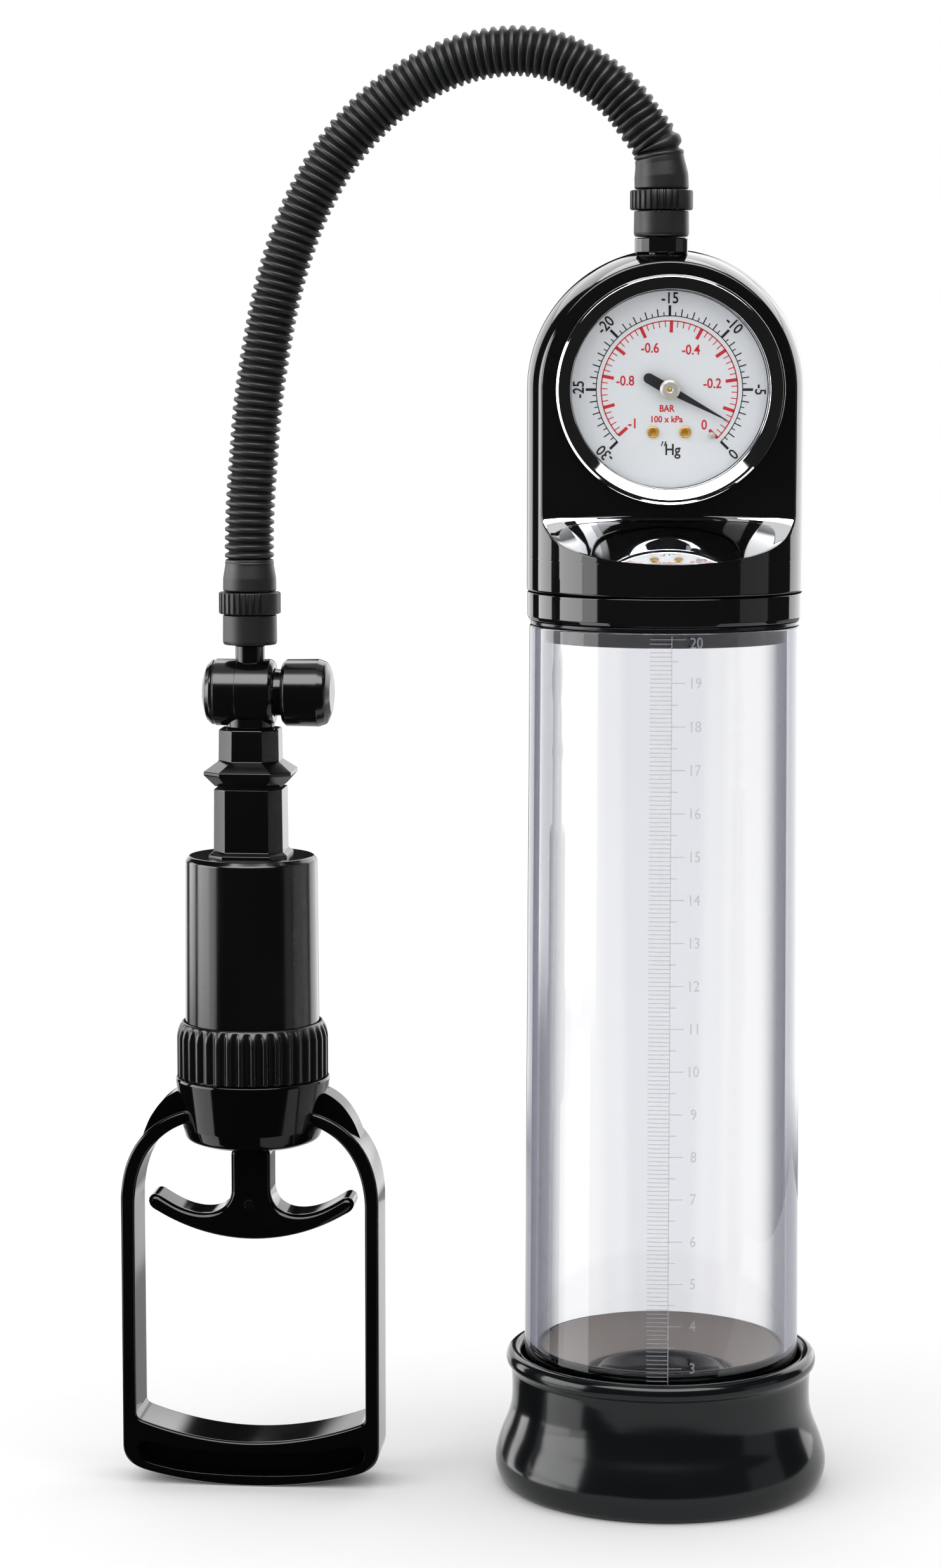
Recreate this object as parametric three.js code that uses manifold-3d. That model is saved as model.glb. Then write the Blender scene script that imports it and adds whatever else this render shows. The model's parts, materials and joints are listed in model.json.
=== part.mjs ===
// A hand vacuum pump: a clear chamber with a rubber base sleeve and a dial gauge in its head,
// joined by a ribbed hose to a hand pump with a pull handle.
// Millimetres, +Z up, front towards -Y. The origin is the middle of the footprint, on the ground.
import * as THREE from 'three';
import { mergeVertices } from 'three/addons/utils/BufferGeometryUtils.js';
import Module from 'manifold-3d';

const wasm = await Module();
wasm.setup();

// ---- Driving dimensions ----
const GAP = 0.3;
const AXIS_SPACING = 98;
const PUMP_TURN = THREE.MathUtils.degToRad(-5);

const SLEEVE_RADIUS = 39.8;
const SLEEVE_FOOT_RADIUS = 37.2;
const SLEEVE_BELL_RADIUS = 31.5;
const TUBE_RADIUS_LOW = 32.9;
const TUBE_RADIUS_HIGH = 31.9;
const TUBE_WALL = 3;
const TUBE_BOTTOM = 20.1;
const TUBE_TOP = 207.1;
const GASKET_THICKNESS = 1;
const RING_BOTTOM = 208.4;
const SEAM = 214.9;
const RING_RADIUS = 32.4;
const HEAD_RADIUS = 32.6;
const HEAD_WALL = 2.5;
const HEAD_CENTRE = 262.3;
const PANEL_Y = -14.1;
const PANEL_FOOT = 232.3;
const SCOOP_EDGE = 222.8;

const BEZEL_RADIUS = 26.3;
const BEZEL_FRONT = -22.1;
const DIAL_RADIUS = 22.7;
const DIAL_FRONT = -14.9;
const CASE_RADIUS = 24.2;
const CASE_BACK = 10;
const PINION_TEETH = 12;
const SECTOR_TEETH_ROUND = 81;
const TOOTH_MODULE = 1 / 3;
const CENTRE_DISTANCE = (TOOTH_MODULE * (PINION_TEETH + SECTOR_TEETH_ROUND)) / 2;
const POINTER_REST = THREE.MathUtils.degToRad(-28);
const STOP_ANGLE = THREE.MathUtils.degToRad(-47.2);

const FITTING_X = -1.7;
const FITTING_Y = -8;
const FITTING_SEAT = 291.1;
const GRIP_HALF_WIDTH = 31;
const GRIP_DEPTH = 16;
const GRIP_WALL = 3.3;
const CUP_TOP = 99;
const CUP_BOTTOM = 83;
const CUP_RADIUS = 18.45;
const NUT_TOP = 112.3;
const NUT_RADIUS = 18.05;
const NUT_RIBS = 38;
const BARREL_RADIUS = 15.9;
const BARREL_BORE = 13.8;
const BARREL_BOTTOM = 102.4;
const BARREL_TOP = 152;
const NECK_TOP = 168.6;
const VALVE_CENTRE = 190.9;
const VALVE_RADIUS = 7.9;
const ROD_RADIUS = 2.6;
const PISTON_BOTTOM = 138;
const PISTON_TOP = 146;

const HOSE_RADIUS = 5.5;
const HOSE_STEPS = 56;
const BOOT_LENGTH = 7.4;
const HEAD_BOOT_BEND = THREE.MathUtils.degToRad(10);

// The turned grip and the round sleeve are the two ends of the footprint.
const GRIP_REACH = GRIP_HALF_WIDTH * Math.cos(PUMP_TURN) - (GRIP_DEPTH / 2) * Math.sin(PUMP_TURN);
const PUMP_X = (GRIP_REACH - SLEEVE_RADIUS - AXIS_SPACING) / 2;
const CHAMBER_X = PUMP_X + AXIS_SPACING;

// ---- Finishes ----
const finish = (color, roughness, metalness) =>
  new THREE.MeshStandardMaterial({ color, roughness, metalness });
const glossBlack = finish(0x0b0b0c, 0.12, 0);
const mattBlack = finish(0x27272a, 0.55, 0);
const rubberBlack = finish(0x141415, 0.4, 0);
const clearPlastic = new THREE.MeshStandardMaterial({
  color: 0xe6e6f2,
  roughness: 0.05,
  transparent: true,
  opacity: 0.35,
});
const chrome = finish(0xd8dade, 0.08, 1);
const steel = finish(0xb4b6ba, 0.3, 1);
const brass = finish(0xc79a3c, 0.3, 1);
const whiteEnamel = finish(0xf0f2f5, 0.5, 0);
const blackEnamel = finish(0x101010, 0.5, 0);

// ---- Shape helpers ----
const model = new THREE.Group();
const chamber = new THREE.Group();
chamber.position.x = CHAMBER_X;
const gauge = new THREE.Group();
gauge.position.z = HEAD_CENTRE;
const pump = new THREE.Group();
pump.position.x = PUMP_X;
pump.rotation.z = PUMP_TURN;
chamber.add(gauge);
model.add(chamber, pump);

function addPart(group, name, geometry, material) {
  const mesh = new THREE.Mesh(geometry, material);
  mesh.name = name;
  group.add(mesh);
  return mesh;
}

// A profile of [radius, height] points turned about Y. It is read anticlockwise, so faces point out.
function turnedY(profile, segments = 40) {
  const points = profile.map(([r, h]) => new THREE.Vector2(r, h));
  if (THREE.ShapeUtils.area(points) < 0) points.reverse();
  return new THREE.LatheGeometry(points, segments);
}

// The same, turned about Z.
function turnedZ(profile, segments = 40) {
  return turnedY(profile, segments).rotateX(Math.PI / 2);
}

// The same, turned about X.
function turnedX(profile, segments = 32) {
  return turnedY(profile, segments).rotateZ(-Math.PI / 2);
}

// A ring or washer: outer and inner radius between two heights.
const ringProfile = (outer, inner, low, high) => [
  [inner, low],
  [outer, low],
  [outer, high],
  [inner, high],
  [inner, low],
];

const rodProfile = (radius, low, high) => [
  [0, low],
  [radius, low],
  [radius, high],
  [0, high],
];

// An outline in X and Z carried along Y from one face to the other.
function extrudedY(shape, yFrom, yTo, curveSegments = 7) {
  const geometry = new THREE.ExtrudeGeometry(shape, {
    depth: yTo - yFrom,
    bevelEnabled: false,
    curveSegments,
  });
  return geometry.rotateX(Math.PI / 2).translate(0, yTo, 0);
}

// An outline in Y and Z carried along X.
function extrudedX(shape, xFrom, xTo, curveSegments = 8) {
  const geometry = new THREE.ExtrudeGeometry(shape, {
    depth: xTo - xFrom,
    bevelEnabled: false,
    curveSegments,
  });
  const toYZ = new THREE.Matrix4().makeBasis(
    new THREE.Vector3(0, 1, 0),
    new THREE.Vector3(0, 0, 1),
    new THREE.Vector3(1, 0, 0),
  );
  return geometry.applyMatrix4(toYZ).translate(xFrom, 0, 0);
}

function polygon(points) {
  return new THREE.Shape(points.map(([x, y]) => new THREE.Vector2(x, y)));
}

function circlePath(x, y, radius, count = 20) {
  const points = [];
  for (let i = 0; i < count; i += 1) {
    const angle = (2 * Math.PI * i) / count;
    points.push(new THREE.Vector2(x + radius * Math.cos(angle), y + radius * Math.sin(angle)));
  }
  return new THREE.Path(points);
}

// Turns a geometry into a solid for joining and cutting.
function solid(geometry) {
  const bare = geometry.index ? geometry.clone() : geometry;
  bare.deleteAttribute('normal');
  bare.deleteAttribute('uv');
  const merged = mergeVertices(bare, 1e-4);
  return new wasm.Manifold(
    new wasm.Mesh({
      numProp: 3,
      vertProperties: new Float32Array(merged.attributes.position.array),
      triVerts: new Uint32Array(merged.index.array),
    }),
  );
}

// Turns a solid back into a geometry.
function shapeOf(body) {
  const mesh = body.getMesh();
  const geometry = new THREE.BufferGeometry();
  geometry.setAttribute('position', new THREE.BufferAttribute(mesh.vertProperties, 3));
  geometry.setIndex(new THREE.BufferAttribute(mesh.triVerts, 1));
  return geometry;
}

const joined = (...parts) => parts.map(solid).reduce((whole, part) => whole.add(part));
const cut = (body, ...tools) => tools.map(solid).reduce((rest, tool) => rest.subtract(tool), body);

// A square with cut corners, for the moulded necks.
function chamferedSquare(width, chamfer) {
  const half = width / 2;
  const flat = half - chamfer;
  return [
    [half, flat],
    [flat, half],
    [-flat, half],
    [-half, flat],
    [-half, -flat],
    [-flat, -half],
    [flat, -half],
    [half, -flat],
  ];
}

// A solid through a stack of outlines with the same number of points, each at its own height.
function lofted(layers) {
  const count = layers[0].outline.length;
  const positions = [];
  const indices = [];
  for (const { outline, z } of layers) {
    for (const [x, y] of outline) positions.push(x, y, z);
  }
  for (let layer = 0; layer + 1 < layers.length; layer += 1) {
    for (let i = 0; i < count; i += 1) {
      const a = layer * count + i;
      const b = layer * count + ((i + 1) % count);
      indices.push(a, b, b + count, a, b + count, a + count);
    }
  }
  const last = (layers.length - 1) * count;
  for (let i = 1; i + 1 < count; i += 1) {
    indices.push(0, i + 1, i);
    indices.push(last, last + i, last + i + 1);
  }
  const geometry = new THREE.BufferGeometry();
  geometry.setAttribute('position', new THREE.Float32BufferAttribute(positions, 3));
  geometry.setIndex(indices);
  return geometry;
}

// A ribbed round outline, as on a knurled ring.
function ribbedOutline(ribs, tipRadius, rootRadius) {
  const points = [];
  for (let i = 0; i < ribs; i += 1) {
    const marks = [
      [0.0, rootRadius],
      [0.22, tipRadius],
      [0.58, tipRadius],
      [0.8, rootRadius],
    ];
    for (const [share, radius] of marks) {
      const angle = (2 * Math.PI * (i + share)) / ribs;
      points.push([radius * Math.cos(angle), radius * Math.sin(angle)]);
    }
  }
  return points;
}

// A ribbed ring standing on Z, open through its middle.
function ribbedRing(ribs, tipRadius, rootRadius, bore, low, high) {
  const shape = polygon(ribbedOutline(ribs, tipRadius, rootRadius));
  shape.holes.push(circlePath(0, 0, bore, 32));
  const geometry = new THREE.ExtrudeGeometry(shape, { depth: high - low, bevelEnabled: false });
  return geometry.translate(0, 0, low);
}

// A coil spring along an axis that starts at the origin and runs along +Z.
class CoilCurve extends THREE.Curve {
  constructor(radius, length, turns) {
    super();
    Object.assign(this, { radius, length, turns });
  }

  getPoint(t) {
    const angle = 2 * Math.PI * this.turns * t;
    return new THREE.Vector3(
      this.radius * Math.cos(angle),
      this.radius * Math.sin(angle),
      this.length * t,
    );
  }
}

function coilSpring(radius, wireRadius, length, turns, stepsPerTurn) {
  const section = new THREE.Shape(circlePath(0, 0, wireRadius, 5).getPoints());
  const height = length - 2 * wireRadius;
  const path = new CoilCurve(radius, height, turns);
  const geometry = new THREE.ExtrudeGeometry(section, {
    steps: turns * stepsPerTurn,
    extrudePath: path,
    bevelEnabled: false,
  });
  return geometry.translate(0, 0, wireRadius);
}

// ---- Chamber ----
function makeTube() {
  addPart(
    chamber,
    'tube',
    turnedZ(
      [
        [TUBE_RADIUS_LOW - TUBE_WALL, TUBE_BOTTOM],
        [TUBE_RADIUS_LOW, TUBE_BOTTOM],
        [TUBE_RADIUS_HIGH, TUBE_TOP],
        [TUBE_RADIUS_HIGH - TUBE_WALL, TUBE_TOP],
        [TUBE_RADIUS_LOW - TUBE_WALL, TUBE_BOTTOM],
      ],
      48,
    ),
    clearPlastic,
  );
}

function makeBaseSleeve() {
  const profile = [
    [SLEEVE_BELL_RADIUS, 0],
    [SLEEVE_FOOT_RADIUS, 0],
    [38.9, 1.8],
    [SLEEVE_RADIUS, 6],
    [38.9, 10],
    [37.5, 13.5],
    [35.8, 18],
    [35.8, 26],
    [37.0, 30.5],
    [36.4, 31.9],
    [35.0, 32.5],
    [33.8, 31.9],
    [33.3, 30.6],
    [33.3, 19.8],
    [29.4, 19.8],
    [29.4, 33.5],
    [28.2, 33.6],
    [17.4, 26.2],
    [15.8, 27.6],
    [14.2, 27.9],
    [12.4, 26.8],
    [11.4, 24.2],
    [12.8, 22.6],
    [15.4, 22.8],
    [26.6, 29.4],
    [27.4, 23.0],
    [28.8, 18.0],
    [SLEEVE_BELL_RADIUS, 0],
  ];
  addPart(chamber, 'base_sleeve', turnedZ(profile, 36), rubberBlack);
}

function makeTubeGasket() {
  const outer = TUBE_RADIUS_HIGH - 0.2;
  const low = TUBE_TOP + 0.15;
  const ring = turnedZ(ringProfile(outer, TUBE_RADIUS_HIGH - TUBE_WALL, low, low + GASKET_THICKNESS), 28);
  addPart(chamber, 'tube_gasket', ring, rubberBlack);
}

function makeHeadBaseRing() {
  const spigot = TUBE_RADIUS_HIGH - TUBE_WALL - 2 * GAP;
  const profile = [
    [7, RING_BOTTOM - 2],
    [spigot - 3, RING_BOTTOM - 2],
    [spigot - 3, RING_BOTTOM - 5],
    [spigot, RING_BOTTOM - 5],
    [spigot, RING_BOTTOM],
    [RING_RADIUS - 0.5, RING_BOTTOM],
    [RING_RADIUS, RING_BOTTOM + 0.6],
    [RING_RADIUS, SEAM],
    [7, SEAM],
    [7, RING_BOTTOM - 2],
  ];
  addPart(chamber, 'head_base_ring', turnedZ(profile, 36), glossBlack);
}

// The dome and its wall: a cylinder with a half-round top, from the seam up.
function domeProfile(radius, bottom) {
  const profile = [
    [0, bottom],
    [radius, bottom],
    [radius, HEAD_CENTRE],
  ];
  const steps = 7;
  for (let i = 1; i <= steps; i += 1) {
    const angle = (Math.PI / 2) * (i / steps);
    profile.push([radius * Math.cos(angle), HEAD_CENTRE + radius * Math.sin(angle)]);
  }
  profile[profile.length - 1][0] = 0;
  return profile;
}

// What the flat panel and the scoop below it take off the front, moved inwards for the inner wall.
function panelCutter(inward) {
  const reach = 45;
  const top = 310;
  const shape = new THREE.Shape();
  shape.moveTo(PANEL_Y + inward, top);
  shape.lineTo(PANEL_Y + inward, PANEL_FOOT + 1.6 - inward);
  shape.quadraticCurveTo(
    PANEL_Y - 2 + inward,
    PANEL_FOOT - 3.4 - inward,
    -HEAD_RADIUS,
    SCOOP_EDGE - inward,
  );
  shape.lineTo(-reach, SCOOP_EDGE - 2 - inward);
  shape.lineTo(-reach, top);
  return extrudedX(shape, -reach, reach, 8);
}

function makeHeadShell() {
  const atFitting = (radius, low, high, segments) =>
    turnedZ(rodProfile(radius, low, high), segments).translate(FITTING_X, FITTING_Y, 0);
  const outside = cut(solid(turnedZ(domeProfile(HEAD_RADIUS, SEAM + GAP), 40)), panelCutter(0));
  const cavity = cut(
    solid(turnedZ(domeProfile(HEAD_RADIUS - HEAD_WALL, SEAM - 1), 24)),
    panelCutter(HEAD_WALL),
  );
  const gaugeHole = turnedY(rodProfile(CASE_RADIUS + GAP, PANEL_Y - 2, PANEL_Y + 5), 28);
  gaugeHole.translate(0, 0, HEAD_CENTRE);
  const boss = atFitting(5.8, FITTING_SEAT - 3.9, FITTING_SEAT - 0.2, 24);
  const seat = atFitting(5.4, FITTING_SEAT, FITTING_SEAT + 8, 24);
  const nutSeat = atFitting(6.6, FITTING_SEAT + 2.2, FITTING_SEAT + 8, 24);
  const bore = atFitting(3.4, FITTING_SEAT - 9, FITTING_SEAT + 4, 24);
  const shell = cut(outside.subtract(cavity).add(solid(boss)), gaugeHole, seat, nutSeat, bore);
  addPart(chamber, 'head_shell', shapeOf(shell), glossBlack);
}

// ---- Gauge, turned about Y on its own centre ----
function makeGaugeHousing() {
  const caseWall = 1.2;
  const caseFront = PANEL_Y - 0.6;
  const caseProfile = [
    [0, CASE_BACK - caseWall],
    [CASE_RADIUS - caseWall, CASE_BACK - caseWall],
    [CASE_RADIUS - caseWall, caseFront],
    [CASE_RADIUS, caseFront],
    [CASE_RADIUS, CASE_BACK],
    [0, CASE_BACK],
  ];
  const inletHole = turnedZ(rodProfile(3.3, -CASE_RADIUS - 2, -CASE_RADIUS + 4), 20).translate(0, 3, 0);
  const caseBody = cut(solid(turnedY(caseProfile, 28)), inletHole);
  addPart(gauge, 'gauge_case', shapeOf(caseBody), steel);

  const bezelBack = PANEL_Y - GAP;
  const bezelProfile = [
    [CASE_RADIUS + GAP, bezelBack],
    [CASE_RADIUS + GAP, PANEL_Y - 2.2],
    [DIAL_RADIUS, PANEL_Y - 2.2],
    [DIAL_RADIUS, -18.2],
    [23.7, -18.2],
    [23.7, -20.2],
    [DIAL_RADIUS, -20.6],
    [24.2, -21.8],
    [25.2, BEZEL_FRONT],
    [26.0, -21.4],
    [BEZEL_RADIUS, -20.2],
    [BEZEL_RADIUS, bezelBack],
    [CASE_RADIUS + GAP, bezelBack],
  ];
  addPart(gauge, 'gauge_bezel', turnedY(bezelProfile, 28), chrome);
  addPart(gauge, 'gauge_lens', turnedY(rodProfile(23.4, -19.9, -18.5), 28), clearPlastic);
}

function makeDial() {
  const screwX = 3.7;
  const screwZ = -9.8;
  const shape = new THREE.Shape(circlePath(0, 0, DIAL_RADIUS, 28).getPoints());
  shape.holes.push(circlePath(0, 0, 1.7, 16));
  shape.holes.push(circlePath(screwX, screwZ, 1.1, 12));
  shape.holes.push(circlePath(-screwX, screwZ, 1.1, 12));
  const stopRadius = 14.4;
  const stopX = stopRadius * Math.cos(STOP_ANGLE);
  const stopZ = stopRadius * Math.sin(STOP_ANGLE);
  shape.holes.push(circlePath(stopX, stopZ, 1.1, 12));
  addPart(gauge, 'gauge_dial', extrudedY(shape, DIAL_FRONT, DIAL_FRONT + 0.7), whiteEnamel);

  const screwProfile = [
    [0, DIAL_FRONT + 2.6],
    [0.8, DIAL_FRONT + 2.6],
    [0.8, DIAL_FRONT - 0.15],
    [1.35, DIAL_FRONT - 0.15],
    [1.35, DIAL_FRONT - 0.6],
    [1.1, DIAL_FRONT - 0.9],
    [0, DIAL_FRONT - 0.9],
  ];
  for (const [side, sign] of [
    ['left', -1],
    ['right', 1],
  ]) {
    const screw = addPart(gauge, `dial_screw_${side}`, turnedY(screwProfile, 10), brass);
    screw.position.set(sign * screwX, 0, screwZ);
  }
  const pin = addPart(
    gauge,
    'stop_pin',
    turnedY(rodProfile(0.8, DIAL_FRONT - 2.2, DIAL_FRONT + 1.6), 12),
    steel,
  );
  pin.position.set(stopX, 0, stopZ);
}

function makePointer() {
  const length = 15.9;
  const tail = 6.7;
  const hub = 2.3;
  const outline = [
    [length, 0],
    [hub, 0.95],
    [0.6, hub - 0.2],
    [-0.6, hub - 0.2],
    [-hub, 1.2],
    [-tail + 1.2, 1.2],
    [-tail + 0.35, 0.85],
    [-tail, 0],
    [-tail + 0.35, -0.85],
    [-tail + 1.2, -1.2],
    [-hub, -1.2],
    [-0.6, -hub + 0.2],
    [0.6, -hub + 0.2],
    [hub, -0.95],
  ];
  const shape = polygon(outline);
  shape.holes.push(circlePath(0, 0, 0.95, 12));
  const pointer = addPart(gauge, 'pointer', extrudedY(shape, DIAL_FRONT - 1.7, DIAL_FRONT - 1.2), blackEnamel);
  pointer.rotation.y = -POINTER_REST;
}

// A gear outline with slim teeth, so that it runs freely with its partner.
function gearOutline(teethRound, fromTooth, toTooth, phase) {
  const pitchRadius = (TOOTH_MODULE * teethRound) / 2;
  const tip = pitchRadius + 0.26;
  const root = pitchRadius - 0.42;
  const step = (2 * Math.PI) / teethRound;
  const points = [];
  for (let tooth = fromTooth; tooth < toTooth; tooth += 1) {
    const middle = tooth * step + phase;
    for (const [share, radius] of [
      [-0.22, root],
      [-0.09, tip],
      [0.09, tip],
      [0.22, root],
    ]) {
      const angle = middle + share * step;
      points.push([radius * Math.cos(angle), radius * Math.sin(angle)]);
    }
  }
  return points;
}

// The sector turns on an arbor below the pointer's shaft, and its arm is linked to the tube's tip.
function makeMovement() {
  const gearFront = -7.2;
  const gearBack = -5.8;
  const pinion = polygon(gearOutline(PINION_TEETH, 0, PINION_TEETH, -Math.PI / 2));
  const shaft = joined(
    turnedY(rodProfile(0.7, DIAL_FRONT - 2.4, -1.2), 14),
    extrudedY(pinion, gearFront, gearBack),
  );
  addPart(gauge, 'pointer_shaft', shapeOf(shaft), steel);

  const hubProfile = [
    [1.0, DIAL_FRONT - 2.0],
    [2.3, DIAL_FRONT - 2.0],
    [2.3, DIAL_FRONT - 2.7],
    [1.9, DIAL_FRONT - 3.1],
    [1.0, DIAL_FRONT - 3.1],
    [1.0, DIAL_FRONT - 2.0],
  ];
  addPart(gauge, 'pointer_hub', turnedY(hubProfile, 16), steel);

  const teeth = 15;
  const halfTooth = Math.PI / SECTOR_TEETH_ROUND;
  const arc = gearOutline(SECTOR_TEETH_ROUND, -4, teeth - 4, Math.PI / 2 + halfTooth);
  const fan = polygon([...arc, [-2.4, 1.6], [-1.7, -1.7], [1.7, -1.7], [2.4, 1.6]]);
  const arm = polygon([
    [0.5, -1.4],
    [9.4, 2.6],
    [8.6, 5.2],
    [0.2, 1.6],
  ]);
  const sector = joined(
    extrudedY(fan, gearFront, gearBack),
    extrudedY(arm, gearFront, gearBack),
    turnedY(rodProfile(0.8, -11.0, -3.4), 14),
  );
  const gear = addPart(gauge, 'sector_gear', shapeOf(sector), brass);
  gear.position.z = -CENTRE_DISTANCE;
}

function makeMovementPlates() {
  const outline = polygon([
    [-6.4, 3.4],
    [-6.4, -12.2],
    [-3.4, -18.8],
    [3.4, -18.8],
    [6.4, -12.2],
    [6.4, 3.4],
  ]);
  outline.holes.push(circlePath(0, 0, 0.8, 14));
  outline.holes.push(circlePath(0, -CENTRE_DISTANCE, 0.9, 14));
  const backPlate = extrudedY(outline, -4.2, -3.0);
  const foot = new THREE.BoxGeometry(10, 4.1, 3.2).translate(0, -1.15, -17.4);
  const frontOutline = outline.clone();
  frontOutline.holes = [
    ...outline.holes,
    circlePath(3.7, -9.8, 1.05, 12),
    circlePath(-3.7, -9.8, 1.05, 12),
  ];
  const frontPlate = extrudedY(frontOutline, -11.0, -9.9);
  addPart(gauge, 'movement_back_plate', shapeOf(joined(backPlate, foot)), brass);
  addPart(gauge, 'movement_front_plate', frontPlate, brass);
  const postProfile = rodProfile(1.0, -9.6, -4.5);
  for (const [side, sign] of [
    ['left', -1],
    ['right', 1],
  ]) {
    const post = addPart(gauge, `plate_post_${side}`, turnedY(postProfile, 12), brass);
    post.position.set(sign * 5.2, 0, 2.2);
  }
}

// A flat-sided tube bent round the back of the case, from the inlet block up to its free tip.
function makeBourdonTube() {
  const radius = 18.6;
  const start = THREE.MathUtils.degToRad(-112);
  const sweep = THREE.MathUtils.degToRad(-230);
  const steps = 28;
  const points = [];
  for (let i = 0; i <= steps; i += 1) {
    const angle = start + (sweep * i) / steps;
    points.push(new THREE.Vector2(radius * Math.cos(angle), radius * Math.sin(angle)));
  }
  const inner = [...points].reverse().map((p) => p.clone().multiplyScalar((radius - 1.6) / radius));
  const shape = new THREE.Shape([...points, ...inner]);
  addPart(gauge, 'bourdon_tube', extrudedY(shape, 1.2, 7.2), brass);

  const inlet = joined(
    new THREE.BoxGeometry(11, 6, 4.2).translate(0.4, 4.2, -18.2),
    turnedZ(rodProfile(3.0, -28.5, -19.0), 20).translate(0, 3, 0),
  );
  const bore = turnedZ(rodProfile(1.0, -30, -18.5), 12).translate(0, 3, 0);
  const side = new THREE.BoxGeometry(7, 1.4, 1.4).translate(-3, 3.7, -18.2);
  addPart(gauge, 'gauge_inlet', shapeOf(inlet.subtract(joined(bore, side))), brass);
}

// ---- Fittings at both ends of the hose, stacked on Z ----
function makeHeadNipple() {
  const facets = 16;
  const nut = turnedZ(rodProfile(6.2, FITTING_SEAT + 2.5, FITTING_SEAT + 6.1), facets);
  const stem = turnedZ(rodProfile(3.0, FITTING_SEAT - 3.9, FITTING_SEAT + 3), 16);
  const spigot = turnedZ(rodProfile(2.6, FITTING_SEAT + 5, FITTING_SEAT + 13), 16);
  const bore = turnedZ(rodProfile(1.3, FITTING_SEAT - 5, FITTING_SEAT + 14), 10);
  const nipple = joined(nut, stem, spigot).subtract(solid(bore));
  const mesh = addPart(chamber, 'head_nipple', shapeOf(nipple), glossBlack);
  const sealProfile = [
    [3.4, FITTING_SEAT + GAP],
    [4.0, FITTING_SEAT + GAP],
    [5.2, FITTING_SEAT + 1.8],
    [5.2, FITTING_SEAT + 2.2],
    [3.4, FITTING_SEAT + 2.2],
    [3.4, FITTING_SEAT + GAP],
  ];
  const seal = addPart(chamber, 'nipple_seal', turnedZ(sealProfile, 16), rubberBlack);
  for (const piece of [mesh, seal]) piece.position.set(FITTING_X, FITTING_Y, 0);
}

// Where a point of a straight piece goes when the piece is bent towards -X as it rises.
function bent(x, z, length, bend) {
  if (bend === 0) return { x, z };
  const angle = (bend * z) / length;
  const radius = length / bend;
  return {
    x: x * Math.cos(angle) - radius * (1 - Math.cos(angle)),
    z: x * Math.sin(angle) + radius * Math.sin(angle),
  };
}

function bendGeometry(geometry, length, bend) {
  const { position } = geometry.attributes;
  for (let i = 0; i < position.count; i += 1) {
    const moved = bent(position.getX(i), position.getZ(i), length, bend);
    position.setX(i, moved.x);
    position.setZ(i, moved.z);
  }
  return geometry;
}

// Socket, lock ring and boot at one end of the hose, on the axis at x and y. low is the socket's
// bottom, and bend is the angle that the boot turns through towards the other fitting.
function makeHoseEnd(group, prefix, { x, y, low, socketLength, ringLength, bend }) {
  const socketHigh = low + socketLength;
  const ringHigh = socketHigh + GAP + ringLength;
  const boreRadius = 2.9;
  const socket = addPart(
    group,
    `${prefix}_socket`,
    turnedZ(ringProfile(6.4, boreRadius, low, socketHigh), 20),
    mattBlack,
  );
  const ring = addPart(
    group,
    `${prefix}_lock_ring`,
    ribbedRing(18, 7.3, 6.9, boreRadius + 1.2, socketHigh + GAP, ringHigh),
    mattBlack,
  );
  const bootProfile = [
    [boreRadius, 0],
    [6.2, 0],
    [6.1, 3],
    [5.6, BOOT_LENGTH],
    [boreRadius, BOOT_LENGTH],
    [boreRadius, 0],
  ];
  const bootShape = bendGeometry(turnedZ(bootProfile, 20), BOOT_LENGTH, bend);
  const boot = addPart(group, `${prefix}_boot`, bootShape, mattBlack);
  for (const piece of [socket, ring, boot]) piece.position.set(x, y, 0);
  boot.position.z = ringHigh + GAP;
  return boot.position.z;
}

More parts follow.
